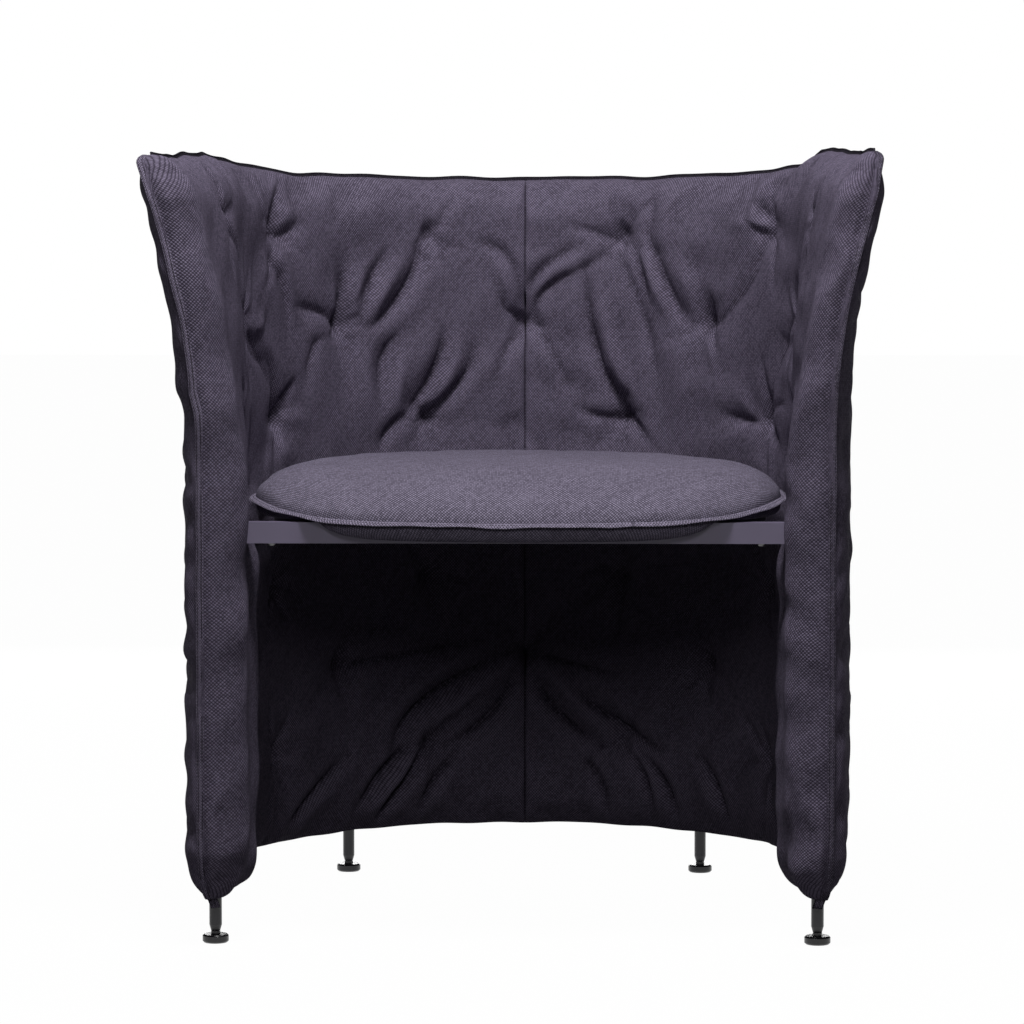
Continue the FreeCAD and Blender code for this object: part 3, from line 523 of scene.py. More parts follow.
def cloth_push(side, s, z, around, swing, slim, inner):
    """How far folds, tufts, padding and seams push the cloth out or draw it in."""
    push = np.zeros_like(s)
    for chosen, folds in ((inner, INNER_FOLDS), (~inner, OUTER_FOLDS)):
        where, up = side * around[:, chosen], z[:, chosen]
        calm = 1 - SIDE_CALM * ramp(s[:, chosen], *CALM_PLACES)
        depth = slim[:, chosen] * calm if chosen[0] else OUTER_TUFT_SHARE
        push[:, chosen] += depth * tuft_field(where, up) + fold_field(where, up, folds)
        waves = random_waves(where, up, SOFT_WAVES, SOFT_WAVE_LENGTHS)
        push[:, chosen] += sum(wave * SOFT_WAVE_HEIGHT * RNG.uniform(0.3, 1) for wave in waves) / 3
    puff = bell(quilt_length(z) - PUFF_AHEAD - s, PUFF_WIDTH) * fall(z, *PUFF_HEIGHTS)
    push += INNER_PUFF * puff * np.where(swing < 0, -swing, 0)
    push -= CENTRE_PULL * bell(around, CENTRE_WIDTH)
    push[:, SEAM_COLUMN] -= SEAM_PULL
    return push * ramp(THICK, *SOFT_THICKNESS)[:, None]


def by_hand():
    """The listed folds, in metres, those under the seat a little deeper."""
    rows = np.array(FOLDS, float)
    places, sizes = rows[:, :6].reshape(-1, 3, 2) / 1000, rows[:, 6:] / 10000
    sizes[places[:, 1, 1] < UNDER_SEAT, 0] *= UNDER_SEAT_FOLDS
    return [(*three, *size) for three, size in zip(places, sizes)]


INNER_FOLDS = by_hand() + random_folds(1.0, True)
OUTER_FOLDS = random_folds(1.25, False)


def quads(columns, low, high):
    """Faces between two rows of points."""
    return [
        (low + here, low + following, high + following, high + here)
        for here, following in zip(columns, columns[1:])
    ]


def half_faces(row_length, columns):
    """Faces of a half: its sides and its closed top and bottom edges."""
    faces = []
    for row in range(ROWS - 1):
        faces += quads(columns, row * row_length, (row + 1) * row_length)
    back = columns[::-1]
    for row, way in ((0, -1), (ROWS - 1, 1)):
        for i in range((len(columns) - 1) // 2):
            ring = dict.fromkeys((columns[i], columns[i + 1], back[i + 1], back[i]))
            faces.append(tuple(row * row_length + column for column in ring)[::way])
    return faces


def new_object(name, data):
    piece = bpy.data.objects.new(name, data)
    bpy.context.scene.collection.objects.link(piece)
    return piece


def new_piece(name, verts, faces, **layers):
    """A piece with a smooth mesh, and vectors for its points by name."""
    mesh = bpy.data.meshes.new(name)
    mesh.from_pydata(np.asarray(verts, float).tolist(), [], [tuple(map(int, f)) for f in faces])
    mesh.polygons.foreach_set("use_smooth", np.ones(len(mesh.polygons), bool))
    for key, values in layers.items():
        flat = np.zeros((len(verts), 3), np.float32)
        flat[:, : values.shape[1]] = values
        layer = mesh.attributes.new(key, "FLOAT_VECTOR", "POINT")
        layer.data.foreach_set("vector", flat.ravel())
    mesh.update()
    return new_object(name, mesh)


def vectors(data, name):
    """A vector for each point of a mesh."""
    flat = np.zeros(len(data) * 3, np.float32)
    data.foreach_get(name, flat)
    return flat.reshape(-1, 3).astype(float)


def settled(name, verts, faces, sewn, pressure, frames, most):
    """Lets the closed cloth settle under the pressure of its filling, held where it is sewn."""
    piece = new_piece(name, verts, faces)
    group = piece.vertex_groups.new(name="sewn")
    group.add([int(index) for index in np.flatnonzero(sewn)], 1.0, "REPLACE")
    cloth = piece.modifiers.new("cloth", "CLOTH")
    settings = dict(
        quality=4, mass=0.25, tension_stiffness=12, compression_stiffness=12, shear_stiffness=5,
        bending_stiffness=0.4, shrink_min=-0.03, use_pressure=True,
        uniform_pressure_force=pressure, vertex_group_mass="sewn",
    )
    for key, value in settings.items():
        setattr(cloth.settings, key, value)
    cloth.settings.effector_weights.gravity = 0
    cloth.collision_settings.use_collision = False
    cloth.point_cache.frame_end = frames
    for number in range(1, frames + 1):
        bpy.context.scene.frame_set(number)
    graph = bpy.context.evaluated_depsgraph_get()
    moved = vectors(piece.evaluated_get(graph).data.vertices, "co")
    bpy.data.objects.remove(piece)
    bpy.context.scene.frame_set(1)
    shift = moved - verts
    far = np.linalg.norm(shift, axis=1, keepdims=True)
    return verts + shift * np.minimum(1, most / np.maximum(far, 1e-9))


def subdivided(piece):
    """The piece with a subdivision surface applied."""
    piece.modifiers.new("smooth", "SUBSURF").levels = 1
    graph = bpy.context.evaluated_depsgraph_get()
    mesh = bpy.data.meshes.new_from_object(piece.evaluated_get(graph))
    piece.modifiers.clear()
    piece.data = mesh
    mesh.polygons.foreach_set("use_smooth", np.ones(len(mesh.polygons), bool))
    return piece


# Materials


class Nodes:
    """Short calls for the node tree of a material or the world."""

    def __init__(self, owner, shader="Principled BSDF"):
        owner.use_nodes = True
        self.owner = owner
        self.tree = owner.node_tree
        self.shader = self.tree.nodes[shader]

    def feed(self, node, inputs):
        """Sets a node's inputs, or links them to other nodes' outputs."""
        for key, value in inputs.items():
            if isinstance(value, bpy.types.NodeSocket):
                self.tree.links.new(value, node.inputs[key])
            else:
                node.inputs[key].default_value = value

    def set(self, **values):
        self.feed(self.shader, {key.replace("_", " "): value for key, value in values.items()})

    def add(self, kind, inputs=(), **settings):
        """The outputs of a new node."""
        node = self.tree.nodes.new("ShaderNode" + kind)
        for key, value in settings.items():
            setattr(node, key, value)
        self.feed(node, dict(inputs))
        return node.outputs

    def math(self, operation, *values):
        return self.add("Math", enumerate(values), operation=operation)[0]

    def noise(self, vector, scale, detail=2.0, roughness=0.5):
        inputs = {"Vector": vector, "Scale": scale, "Detail": detail, "Roughness": roughness}
        return self.add("TexNoise", inputs)

    def between(self, value, low, high, out_low, out_high):
        return self.add("MapRange", enumerate((value, low, high, out_low, out_high)))[0]

    def bump(self, height, distance, strength, **under):
        inputs = {"Strength": strength, "Distance": distance, "Height": height, **under}
        return self.add("Bump", inputs)[0]

    def attribute(self, name):
        return self.add("Attribute", attribute_name=name)

    def place(self):
        return self.add("TexCoord")["Object"]

    def finish(self, tone, light, dark, **values):
        """Sets the shader, with a colour between a dark and a light one."""
        inputs = {"Factor": tone, "A": (*dark, 1), "B": (*light, 1)}
        colour = self.add("Mix", inputs, data_type="RGBA")["Result"]
        self.set(Base_Color=colour, **values)
        return self.owner


def new_material(name):
    return Nodes(bpy.data.materials.new(name))


def cloth_material(name, light, dark, pitch):
    """A coarse basket weave of mottled yarns, laid on the slant."""
    nodes = new_material(name)
    cloth = nodes.attribute("cloth")["Vector"]
    turn, scale = (0, 0, math.radians(45)), (1 / pitch, 1 / pitch, 1)
    slant = nodes.add("Mapping", {"Vector": cloth, "Rotation": turn, "Scale": scale})
    wander = nodes.noise(cloth, 60)["Color"]
    inputs = {0: wander, 1: (0.55, 0.55, 0), 2: slant[0]}
    yarns = nodes.add("VectorMath", inputs, operation="MULTIPLY_ADD")
    parts = list(nodes.add("SeparateXYZ", {0: yarns[0]}))[:2]
    over, under = (
        nodes.math("ABSOLUTE", nodes.math("SINE", nodes.math("MULTIPLY", part, math.pi)))
        for part in parts
    )
    cells = [nodes.math("FLOOR", part) for part in parts]
    parity = nodes.math("PINGPONG", nodes.math("ADD", *cells), 1.0)
    warp = nodes.math("MULTIPLY", over, nodes.math("POWER", under, 0.6))
    weft = nodes.math("MULTIPLY", under, nodes.math("POWER", over, 0.6))
    height = nodes.add("Mix", {0: parity, 2: warp, 3: weft}, data_type="FLOAT")[0]
    cell = nodes.add("CombineXYZ", enumerate(cells))[0]
    mottle = nodes.add("TexWhiteNoise", {"Vector": cell}, noise_dimensions="3D")
    streak = nodes.add("TexWhiteNoise", {"W": cells[0]}, noise_dimensions="1D")
    patches = nodes.noise(nodes.place(), 14, 3)[0]
    fibres = nodes.noise(nodes.place(), 2600)[0]
    # Ridges lighter for rubbed wear, hollows darker as painted shade.
    wear_and_shade = nodes.attribute("wear_and_shade")["Fac"]
    tone = 0.38
    shades = ((mottle["Value"], 0.5), (streak["Value"], 0.14), (patches, 0.36), (wear_and_shade, 1.5))
    for value, part in shades:
        tone = nodes.math("MULTIPLY_ADD", value, part, tone)
    # Crowns of the threads lighter, gaps near black: painted highlight and shade of the weave.
    tone = nodes.math("MULTIPLY", tone, nodes.between(height, 0.0, 1.0, 0.06, 1.05))
    tone = nodes.math("MULTIPLY_ADD", fibres, 0.06, tone)
    rough = nodes.between(fibres, 0.3, 0.7, 0.82, 0.96)
    normal = nodes.bump(height, 0.00055, 0.9, Normal=nodes.bump(fibres, 0.00012, 0.5))
    return nodes.finish(
        tone, light, dark, Roughness=rough, Normal=normal, Specular_IOR_Level=0.04
    )


def coated_metal(name, colour, roughness, grain, metallic=0.0):
    """Metal with a fine sprayed finish, a little rubbed where it is handled."""
    nodes = new_material(name)
    place = nodes.place()
    blotch = nodes.noise(place, 30, 3)[0]
    fine = nodes.noise(place, 1400, 3, 0.6)[0]
    darker = tuple(0.72 * value for value in colour)
    tone = nodes.math("MULTIPLY_ADD", blotch, 0.6, nodes.math("MULTIPLY", fine, 0.4))
    rough = nodes.between(blotch, 0.3, 0.7, roughness - 0.06, roughness + 0.08)
    normal = nodes.bump(fine, grain, 0.6)
    return nodes.finish(tone, colour, darker, Roughness=rough, Normal=normal, Metallic=metallic)


def thread_material(name, colour):
    """Sewing thread: fine twisted strands."""
    nodes = new_material(name)
    twist = nodes.noise(nodes.place(), 3200)[0]
    darker = tuple(0.45 * value for value in colour)
    rough = nodes.between(twist, 0.3, 0.7, 0.55, 0.75)
    normal = nodes.bump(twist, 0.0001, 0.6)
    return nodes.finish(
        twist, colour, darker, Roughness=rough, Normal=normal, Specular_IOR_Level=0.08
    )


QUILT_CLOTH = cloth_material("quilt_weave", (0.16, 0.137, 0.198), (0.007, 0.005, 0.01), 0.0023)
# The quilt's cloth made lighter: painted sheen on the cushion's top, seen at a grazing angle.
CUSHION_SHEEN_CLOTH = cloth_material("cushion_weave_painted_sheen", (0.215, 0.19, 0.262), (0.012, 0.01, 0.016), 0.0023)
FLANGE_CLOTH = cloth_material("flange_weave", (0.185, 0.16, 0.226), (0.006, 0.005, 0.008), 0.002)
# Near-black cloth for the top seam band: painted shade of the groove along the quilt's top.
EDGE_CLOTH = cloth_material("edge_weave_painted_shade", (0.034, 0.03, 0.041), (0.004, 0.003, 0.005), 0.0018)
# Lighter still for the cushion's seam band: painted highlight on its lit face.
CUSHION_EDGE_HIGHLIGHT_CLOTH = cloth_material(
    "cushion_edge_painted_highlight", (0.25, 0.22, 0.302), (0.014, 0.012, 0.018), 0.002
)
THREAD = thread_material("stitch_thread", (0.012, 0.01, 0.016))
DARK_THREAD = thread_material("tuft_thread", (0.03, 0.027, 0.034))
BLACK_TUBE = coated_metal("black_powder_coat", (0.014, 0.013, 0.018), 0.30, 0.00006)
RAIL_PAINT = coated_metal("rail_satin_paint", (0.13, 0.11, 0.172), 0.36, 0.00003)
PLASTIC = coated_metal("black_glide_plastic", (0.014, 0.013, 0.017), 0.26, 0.00005)
STEEL = coated_metal("dark_screw_steel", (0.12, 0.118, 0.122), 0.34, 0.00003, 1.0)
STUD_STEEL = coated_metal("zinc_stud_steel", (0.52, 0.51, 0.49), 0.30, 0.00003, 1.0)
SEAT_STEEL = coated_metal("seat_frame_coat", (0.02, 0.019, 0.022), 0.45, 0.00006)


def finish_piece(piece, material, body, slot, *nodes):
    """Gives a piece its material and its body, and hides the nodes that it stands for; slot is not
    used.
    """
    piece.data.materials.append(material)
    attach(piece, body)
    if nodes:
        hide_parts(*nodes)


def add_wear_and_shade(piece, gain, most):
    """Ridges of the cloth are rubbed a little lighter, and hollows are darkened as painted shade.
    """
    rounds, kept_share = 8, 0.3
    mesh = piece.data
    verts, normals = vectors(mesh.vertices, "co"), vectors(mesh.vertices, "normal")
    pairs = np.zeros(len(mesh.edges) * 2, np.int32)
    mesh.edges.foreach_get("vertices", pairs)
    first, second = pairs.reshape(-1, 2).T
    count = np.bincount(pairs, minlength=len(verts))[:, None]
    mean = verts
    for _ in range(rounds):
        total = np.zeros_like(mean)
        for axis in range(3):
            total[:, axis] = np.bincount(first, mean[second, axis], len(verts))
            total[:, axis] += np.bincount(second, mean[first, axis], len(verts))
        mean = kept_share * mean + (1 - kept_share) * total / np.maximum(count, 1)
    bulge = ((verts - mean) * normals).sum(1)
    # Positive on ridges for rubbed wear, negative in hollows as painted shade.
    wear_and_shade = np.clip(bulge * gain, -most, most)
    layer = mesh.attributes.new("wear_and_shade", "FLOAT", "POINT")
    layer.data.foreach_set("value", wear_and_shade.astype(np.float32))


# Building the quilt


def build_quilt():
    """Both halves of the quilt, settled together and then split at the centre seam."""
    grids = [half_grid(side) for _, side in SIDES]
    columns = 2 * HALF_COLUMNS - 2
    verts, spot, _ = (
        np.concatenate([right, left[:, -2:0:-1]], 1) for right, left in zip(*grids)
    )
    s, z, _ = np.moveaxis(spot, -1, 0)
    right_columns = list(range(HALF_COLUMNS))
    left_columns = [0, *range(columns - 1, HALF_COLUMNS - 1, -1), HALF_COLUMNS - 1]
    faces = half_faces(columns, right_columns)
    faces += [face[::-1] for face in half_faces(columns, left_columns)]
    sewn = np.zeros(s.shape, bool)
    for tuft_s, tuft_z in TUFTS:
        sewn |= np.hypot(s - tuft_s, z - tuft_z) < TUFT_SEWN
    sewn[:, [0, HALF_COLUMNS - 1, SEAM_COLUMN, columns - SEAM_COLUMN]] = True
    sewn[[0, 1, -2, -1]] = True
    verts = verts.reshape(-1, 3)
    verts = settled("quilt", verts, faces, sewn.ravel(), pressure=4.0, frames=14, most=0.0028)
    verts = verts.reshape(ROWS, columns, 3)
    halves = {"right": verts[:, right_columns], "left": verts[:, left_columns]}
    for (name, side), (_, spot, cloth) in zip(SIDES, grids):
        build_half(name, side, halves[name], spot, cloth)
    return halves


def creased(piece):
    """Sharp creases along the folds, on the fine mesh."""
    mesh = piece.data
    verts, normals = vectors(mesh.vertices, "co"), vectors(mesh.vertices, "normal")
    s, z, inner = vectors(mesh.attributes["spot"].data, "vector").T
    push = np.zeros(len(verts))
    for face, folds in ((1, INNER_FOLDS), (0, OUTER_FOLDS)):
        here = np.abs(inner - face) < 0.5
        sharp = [
            (*places, -CREASE_DEPTH * abs(height), CREASE_WIDTH)
            for *places, height, _ in folds
            if height < 0
        ]
        push[here] += fold_field(s[here], z[here], sharp)
        push[here] -= tuft_puckers(s[here], z[here])
    edge = ramp(z, *CREASE_BOTTOM) * fall(z, *CREASE_TOP)
    verts += normals * (push * edge)[:, None]
    mesh.vertices.foreach_set("co", verts.astype(np.float32).ravel())
    mesh.attributes.remove(mesh.attributes["spot"])
    mesh.update()


def tuft_puckers(s, z):
    """Small sharp gathers round each tuft."""
    place, width, height, hole, depth = 0.013, 0.009, 0.0007, 0.004, 0.0012
    total = np.zeros_like(s)
    for near, gap, turn in near_tufts(s, z, 0.045):
        wave = np.cos(RNG.integers(9, 13) * turn + RNG.uniform(0, 6) + 30 * gap)
        total[near] += height * wave * bell(gap - place, width) + depth * bell(gap, hole)
    return total


def build_half(name, side, places, spot, cloth):
    """A closed half of the quilt, with its side in the centre seam closed."""
    inner, outer = places[:, 0], places[:, -1]
    step = outer - inner
    size = np.linalg.norm(step, axis=1, keepdims=True)
    step = step * (np.minimum(LIP, LIP_SHARE * size) / np.maximum(size, 1e-9))
    places = np.concatenate([places, np.stack([outer - step, inner + step], 1)], 1)
    cloth, spot = (np.concatenate([a, a[:, [-1, 0]]], 1) for a in (cloth, spot))
    row_length = HALF_COLUMNS + 2
    faces = half_faces(row_length, list(range(HALF_COLUMNS)))
    cap = [HALF_COLUMNS - 1, HALF_COLUMNS, HALF_COLUMNS + 1, 0]
    for row in range(ROWS - 1):
        faces += quads(cap, row * row_length, (row + 1) * row_length)
    for row, way in ((0, -1), (ROWS - 1, 1)):
        faces.append(tuple(row * row_length + column for column in (0, *cap[:3]))[::way])
    if side < 0:
        faces = [face[::-1] for face in faces]
    verts, cloth, spot = places.reshape(-1, 3), cloth.reshape(-1, 2), spot.reshape(-1, 3)
    piece = new_piece(f"quilt_{name}", verts, faces, cloth=cloth, spot=spot)
    creased(subdivided(piece))
    add_wear_and_shade(piece, gain=80, most=0.34)
    nodes = [f"inner_cover_{name}", f"outer_cover_{name}", f"padding_{name}"]
    finish_piece(piece, QUILT_CLOTH, "frame", "quilt_cloth", *nodes)


# Seam flanges with their stitches


def swept(name, line, ruffle, seed, closed=False, tapered=(), size=(1, 1)):
    """A flat sewn band along a line of points and ways out and across, and its stitches."""
    points, outward, across = line
    outward = unit(outward)
    across = unit(across - outward * (across * outward).sum(1, keepdims=True))
    along = lengths(points)
    wave = edge_wave(along, ruffle, seed)
    if closed:
        wave *= ramp(along, 0, BAND_CLOSING) * fall(along, along[-1] - BAND_CLOSING, along[-1])
    narrow = np.ones(len(along))
    for end in tapered:
        opened = ramp(np.abs(along - along[end]), 0, BAND_END_LENGTH)
        narrow *= BAND_END_WIDTH + (1 - BAND_END_WIDTH) * opened
    wide, thick = size
    ring = [(out * wide, half * thick) for out, half in zip(*FLANGE_SECTION)]
    ring += [(out, -half) for out, half in ring[::-1]]
    verts, cloth = [], []
    for out, half in ring:
        shift = (half + wave * max(out, 0) / FLANGE_WIDE)[:, None]
        verts.append(points + outward * (out * narrow)[:, None] + across * shift)
        cloth.append(np.stack([along, np.full(len(along), out + half)], -1))
    verts, cloth = np.stack(verts, 1).reshape(-1, 3), np.stack(cloth, 1).reshape(-1, 2)
    width, count = len(ring), len(points)
    faces = []
    for row in range(count if closed else count - 1):
        faces += quads([*range(width), 0], row * width, (row + 1) % count * width)
    if not closed:
        faces.append(tuple(range(width))[::-1])
        faces.append(tuple((count - 1) * width + i for i in range(width)))
    piece = new_piece(name, verts, faces, cloth=cloth)
    return piece, stitches_along((points, outward, across), along, wave, size)


def short_thread(tips, ends, side, other, radius, sides):
    """A thread: a tip, a ring of points at each end, and the other tip."""
    turns = np.linspace(0, 2 * np.pi, sides, endpoint=False)
    ring = [(side * math.cos(turn) + other * math.sin(turn)) * radius for turn in turns]
    verts = [tips[0], *(end + point for end in ends for point in ring), tips[1]]
    faces = []
    for i in range(sides):
        j = (i + 1) % sides
        faces.append((0, 1 + j, 1 + i))
        faces.append((1 + i, 1 + j, 1 + sides + j, 1 + sides + i))
        faces.append((1 + 2 * sides, 1 + sides + i, 1 + sides + j))
    return verts, faces


def stitches_along(line, along, wave, size):
    """Stitches along both faces of a band."""
    points, outward, across = line
    wide, thick = size
    thread = THREAD_RADIUS * thick
    starts = np.arange(STITCH_START, along[-1] - STITCH_START, STITCH_PITCH)
    stitches = []

    def at(where, values):
        return np.array([np.interp(where, along, column) for column in values.T])

    for row, face, start in product(STITCH_ROWS, (1, -1), starts):
        way = at(start + 0.001, points) - at(start, points)
        way = way / np.linalg.norm(way)
        side_way, away = at(start, across) * face, at(start, outward)
        out = row * wide
        depth = np.interp(row, *FLANGE_SECTION) * thick
        lift = depth * face + np.interp(start, along, wave) * out / FLANGE_WIDE
        centre = at(start, points) + away * out + at(start, across) * lift
        tips, ends = (
            [centre + way * STITCH_LONG * share for share in (-half, half)]
            for half in STITCH_HALVES
        )
        tips = [tip - side_way * thread * STITCH_DIP for tip in tips]
        stitches.append(short_thread(tips, ends, side_way, away, thread, STITCH_SIDES))
    return stitches


def build_threads(name, parts, material, body, *nodes):
    """One piece from many short threads."""
    verts, faces = [], []
    for part_verts, part_faces in parts:
        first = len(verts)
        verts += part_verts
        faces += [tuple(first + index for index in face) for face in part_faces]
    piece = new_piece(name, verts, faces)
    finish_piece(piece, material, body, "thread", *nodes)


def build_quilt_bands(halves):
    """The bands along the quilt's top and its two front edges, with their stitches."""
    stitches, top = [], {}
    _, out, forward = middle_line(quilt_length(HEIGHT), HEIGHT)
    facing = out * FRONT_BAND_WAY[0] + forward * FRONT_BAND_WAY[1]
    level = np.zeros(ROWS)
    for name, side in SIDES[::-1]:
        seam = halves[name][:, SEAM_COLUMN]
        outward = np.stack([facing[:, 0] * side, facing[:, 1], level], -1)
        across = np.stack([-facing[:, 1] * side, facing[:, 0], level], -1)
        tail = seam[0] + np.array(FRONT_BAND_TAIL) * (side, 1, 1)
        seam = np.vstack([tail, seam])
        ways = (np.vstack([way[:1], way]) for way in (outward, across))
        band, marks = swept(
            f"front_seam_band_{name}",
            resampled(seam, BAND_STEP, *ways)[:3],
            ruffle=0.0012,
            seed=11 + side,
            tapered=(-1,),
        )
        add_wear_and_shade(band, gain=300, most=0.40)
        finish_piece(band, FLANGE_CLOTH, "frame", "seam_cloth", f"front_seam_flange_{name}")
        stitches += marks
        row = halves[name][-1]
        edge = (row[: SIDE_STEPS + 1] + row[::-1][: SIDE_STEPS + 1]) / 2
        top[name] = np.vstack([edge, row[SEAM_COLUMN]])
    line = np.concatenate([top["left"][::-1], top["right"][1:]])
    line[:, 2] -= BAND_SINK
    line, _ = resampled(line, BAND_STEP)
    tangent = np.gradient(line, axis=0)
    across = np.stack([tangent[:, 1], -tangent[:, 0], np.zeros(len(tangent))], -1)
    upward = np.array([0.0, 0.0, 1.0]) - unit(across) * TOP_BAND_LEAN
    line = (line, upward, across)
    band, marks = swept("top_seam_band", line, ruffle=0.0016, seed=21, tapered=(0, -1))
    add_wear_and_shade(band, gain=60, most=0.15)
    # The top band's near-black cloth is painted shade.
    finish_piece(band, EDGE_CLOTH, "frame", "seam_cloth", "top_seam_flange")
    build_threads("quilt_stitches", stitches + marks, THREAD, "frame")


# The tufts' threads


def rod(start, end, radius, sides=6):
    """A short straight thread."""
    way = (end - start) / np.linalg.norm(end - start)
    side = np.cross(way, [0, 0, 1.0] if abs(way[2]) < 0.9 else [1.0, 0, 0])
    side /= np.linalg.norm(side)
    tips = (start - way * radius * 0.5, end + way * radius * 0.5)
    return short_thread(tips, (start, end), side, np.cross(way, side), radius, sides)


def surface_at(places, column, row):
    """A place between the points of the quilt's grid."""
    low, left = int(row), int(column)
    up, right = row - low, column - left
    lower = places[low, left] * (1 - right) + places[low, left + 1] * right
    upper = places[low + 1, left] * (1 - right) + places[low + 1, left + 1] * right
    return lower * (1 - up) + upper * up


def build_ties(halves):
    """At each tuft a crossed stitch on both faces, and the thread between them."""
    parts = []
    for s, z in TUFTS:
        places = halves["left" if s < 0 else "right"]
        row = float(np.interp(z, HEIGHT, np.arange(ROWS)))
        column = abs(s) / float(quilt_length(np.array(z))) * SIDE_STEPS
        inner = surface_at(places, column, row)
        outer = surface_at(places, HALF_COLUMNS - 2 - column, row)
        out = (outer - inner) / np.linalg.norm(outer - inner)
        around = np.array([-out[1], out[0], 0.0])
        parts.append(rod(inner + out * TIE_INSET, outer - out * TIE_INSET, TIE_RADIUS))
        for face, end in ((-1, inner), (1, outer)):
            pit = end - out * face * CROSS_DEPTH
            for lean in (-1, 1):
                reach = around * CROSS_REACH + np.array([0, 0, lean * CROSS_RISE])
                parts.append(rod(pit - reach, pit + reach, CROSS_RADIUS))
    build_threads("tuft_threads", parts, DARK_THREAD, "frame", "tuft_ties")


# Seat cushion


def cushion_plan(step):
    """The cushion's plan about its centre: a round back, straight sides, round front corners."""

    def arc(start, end, count, radius, x, y):
        turns = np.linspace(start * np.pi, end * np.pi, count)
        return [(x + radius * math.cos(turn), y + radius * math.sin(turn)) for turn in turns]

    x, y = CUSHION_HALF - CUSHION_CORNER, CUSHION_CORNER - CUSHION_HALF
    points = arc(-0.5, 0, 60, CUSHION_CORNER, x, y)
    points += arc(0, 1, 180, CUSHION_HALF, 0, 0)
    points += arc(1, 1.5, 60, CUSHION_CORNER, -x, y)
    return resampled(np.array([*points, points[0]]), step)[0][:-1]


def cushion_sag(x, y, rise):
    """How far the cushion's overhanging front hangs down at a place and height above its foot."""
    middle = 1 - 0.20 * np.minimum(np.abs(x) / SAG_HALF_WIDTH, 1.6) ** 2
    soft = CUSHION_SAG * ramp(-y, *SAG_DEPTHS) * middle
    beyond = FOOT_AHEAD - RAIL_FRONT
    foot = FOOT_DROP * ramp(-y, beyond, beyond + FOOT_LENGTH) * middle
    share = np.clip(rise / CUSHION_SEAM, 0, 1)
    return foot * (1 - share) + soft * share


def calmed_middle(laid, moved, shares, rows, count):
    """The crowded middle of the crown moves as the ring round it does, without a pinch."""
    shift = moved - laid
    around = shift[(rows[0] - 1) * count : rows[0] * count]
    for row in rows:
        part = shares[row] / MIDDLE_SHARE
        shift[row * count : (row + 1) * count] = around.mean(0) * (1 - part) + around * part
    shift[-1] = around.mean(0)
    return laid + shift


def build_cushion():
    """The cushion as rings, from the middle of its foot out to the seam and in to its crown."""
    plan = cushion_plan(CUSHION_CELL)
    (bottom, bottom_at), (top, top_at) = (
        resampled(np.array(shape).T * (CUSHION_HALF, 1) + (0, start), CUSHION_CELL)
        for shape, start in ((CUSHION_FOOT, 0), (CUSHION_CROWN, CUSHION_SEAM))
    )
    rings = np.concatenate([bottom, top[1:]])
    along = np.concatenate([bottom_at, bottom_at[-1] + top_at[1:]])
    shares, rises = rings[:, 0] / CUSHION_HALF, rings[:, 1]
    seam_ring, total, count = len(bottom) - 1, len(rings), len(plan)
    x, y = np.moveaxis(plan[None] * shares[:, None, None], -1, 0)
    turn = np.linspace(0, 2 * np.pi, count, endpoint=False)[None]
    pucker = np.zeros((total, count))
    for waves in PUCKER_WAVES:
        pucker += np.sin(waves * turn + RNG.uniform(0, 6)) * RNG.uniform(0.3, 1)
    near = np.exp(-np.abs(along - along[seam_ring])[:, None] / PUCKER_REACH)
    lump = sum(random_waves(x, y, LUMPS, LUMP_LENGTHS))
    uneven = lump * LUMP_HEIGHT + pucker * near * PUCKER_HEIGHT
    rise = rises[:, None] + np.where((rises > CUSHION_SEAM)[:, None], uneven, 0)
    y = CUSHION_Y + y
    z = CUSHION_BOTTOM + rise - cushion_sag(x, y, rises[:, None])
    ends = [[0, CUSHION_Y, CUSHION_BOTTOM], [0, CUSHION_Y, z[-1].mean()]]
    laid = np.concatenate([np.stack([x, y, z], -1).reshape(-1, 3), ends])
    ring = [*range(count), 0]
    faces = []
    for row in range(total - 1):
        faces += quads(ring, row * count, (row + 1) * count)
    last, low, high = (total - 1) * count, total * count, total * count + 1
    for here, following in zip(ring, ring[1:]):
        faces += [(following, here, low), (last + here, last + following, high)]
    sewn = np.append(np.repeat(np.arange(total) <= seam_ring, count), [True, False])
    moved = settled("cushion", laid, faces, sewn, pressure=3.0, frames=12, most=0.0012)
    middle = np.flatnonzero((rises > CUSHION_SEAM) & (shares < MIDDLE_SHARE))
    verts = calmed_middle(laid, moved, shares, middle, count)
    to_middle = along[-1] - along + rings[-1, 0]
    cloth = plan[None] / CUSHION_HALF * to_middle[:, None, None]
    cloth = np.concatenate([cloth.reshape(-1, 2), np.zeros((2, 2))])
    piece = new_piece("seat_cushion", verts, faces, cloth=cloth)
    add_wear_and_shade(subdivided(piece), gain=30, most=0.10)
    nodes = ["cushion_foam", "cushion_top_cover", "cushion_band_cover"]
    # The cushion's lighter cloth is painted sheen.
    finish_piece(piece, CUSHION_SHEEN_CLOTH, "cushion", "cushion_cloth", *nodes)
    build_cushion_band()


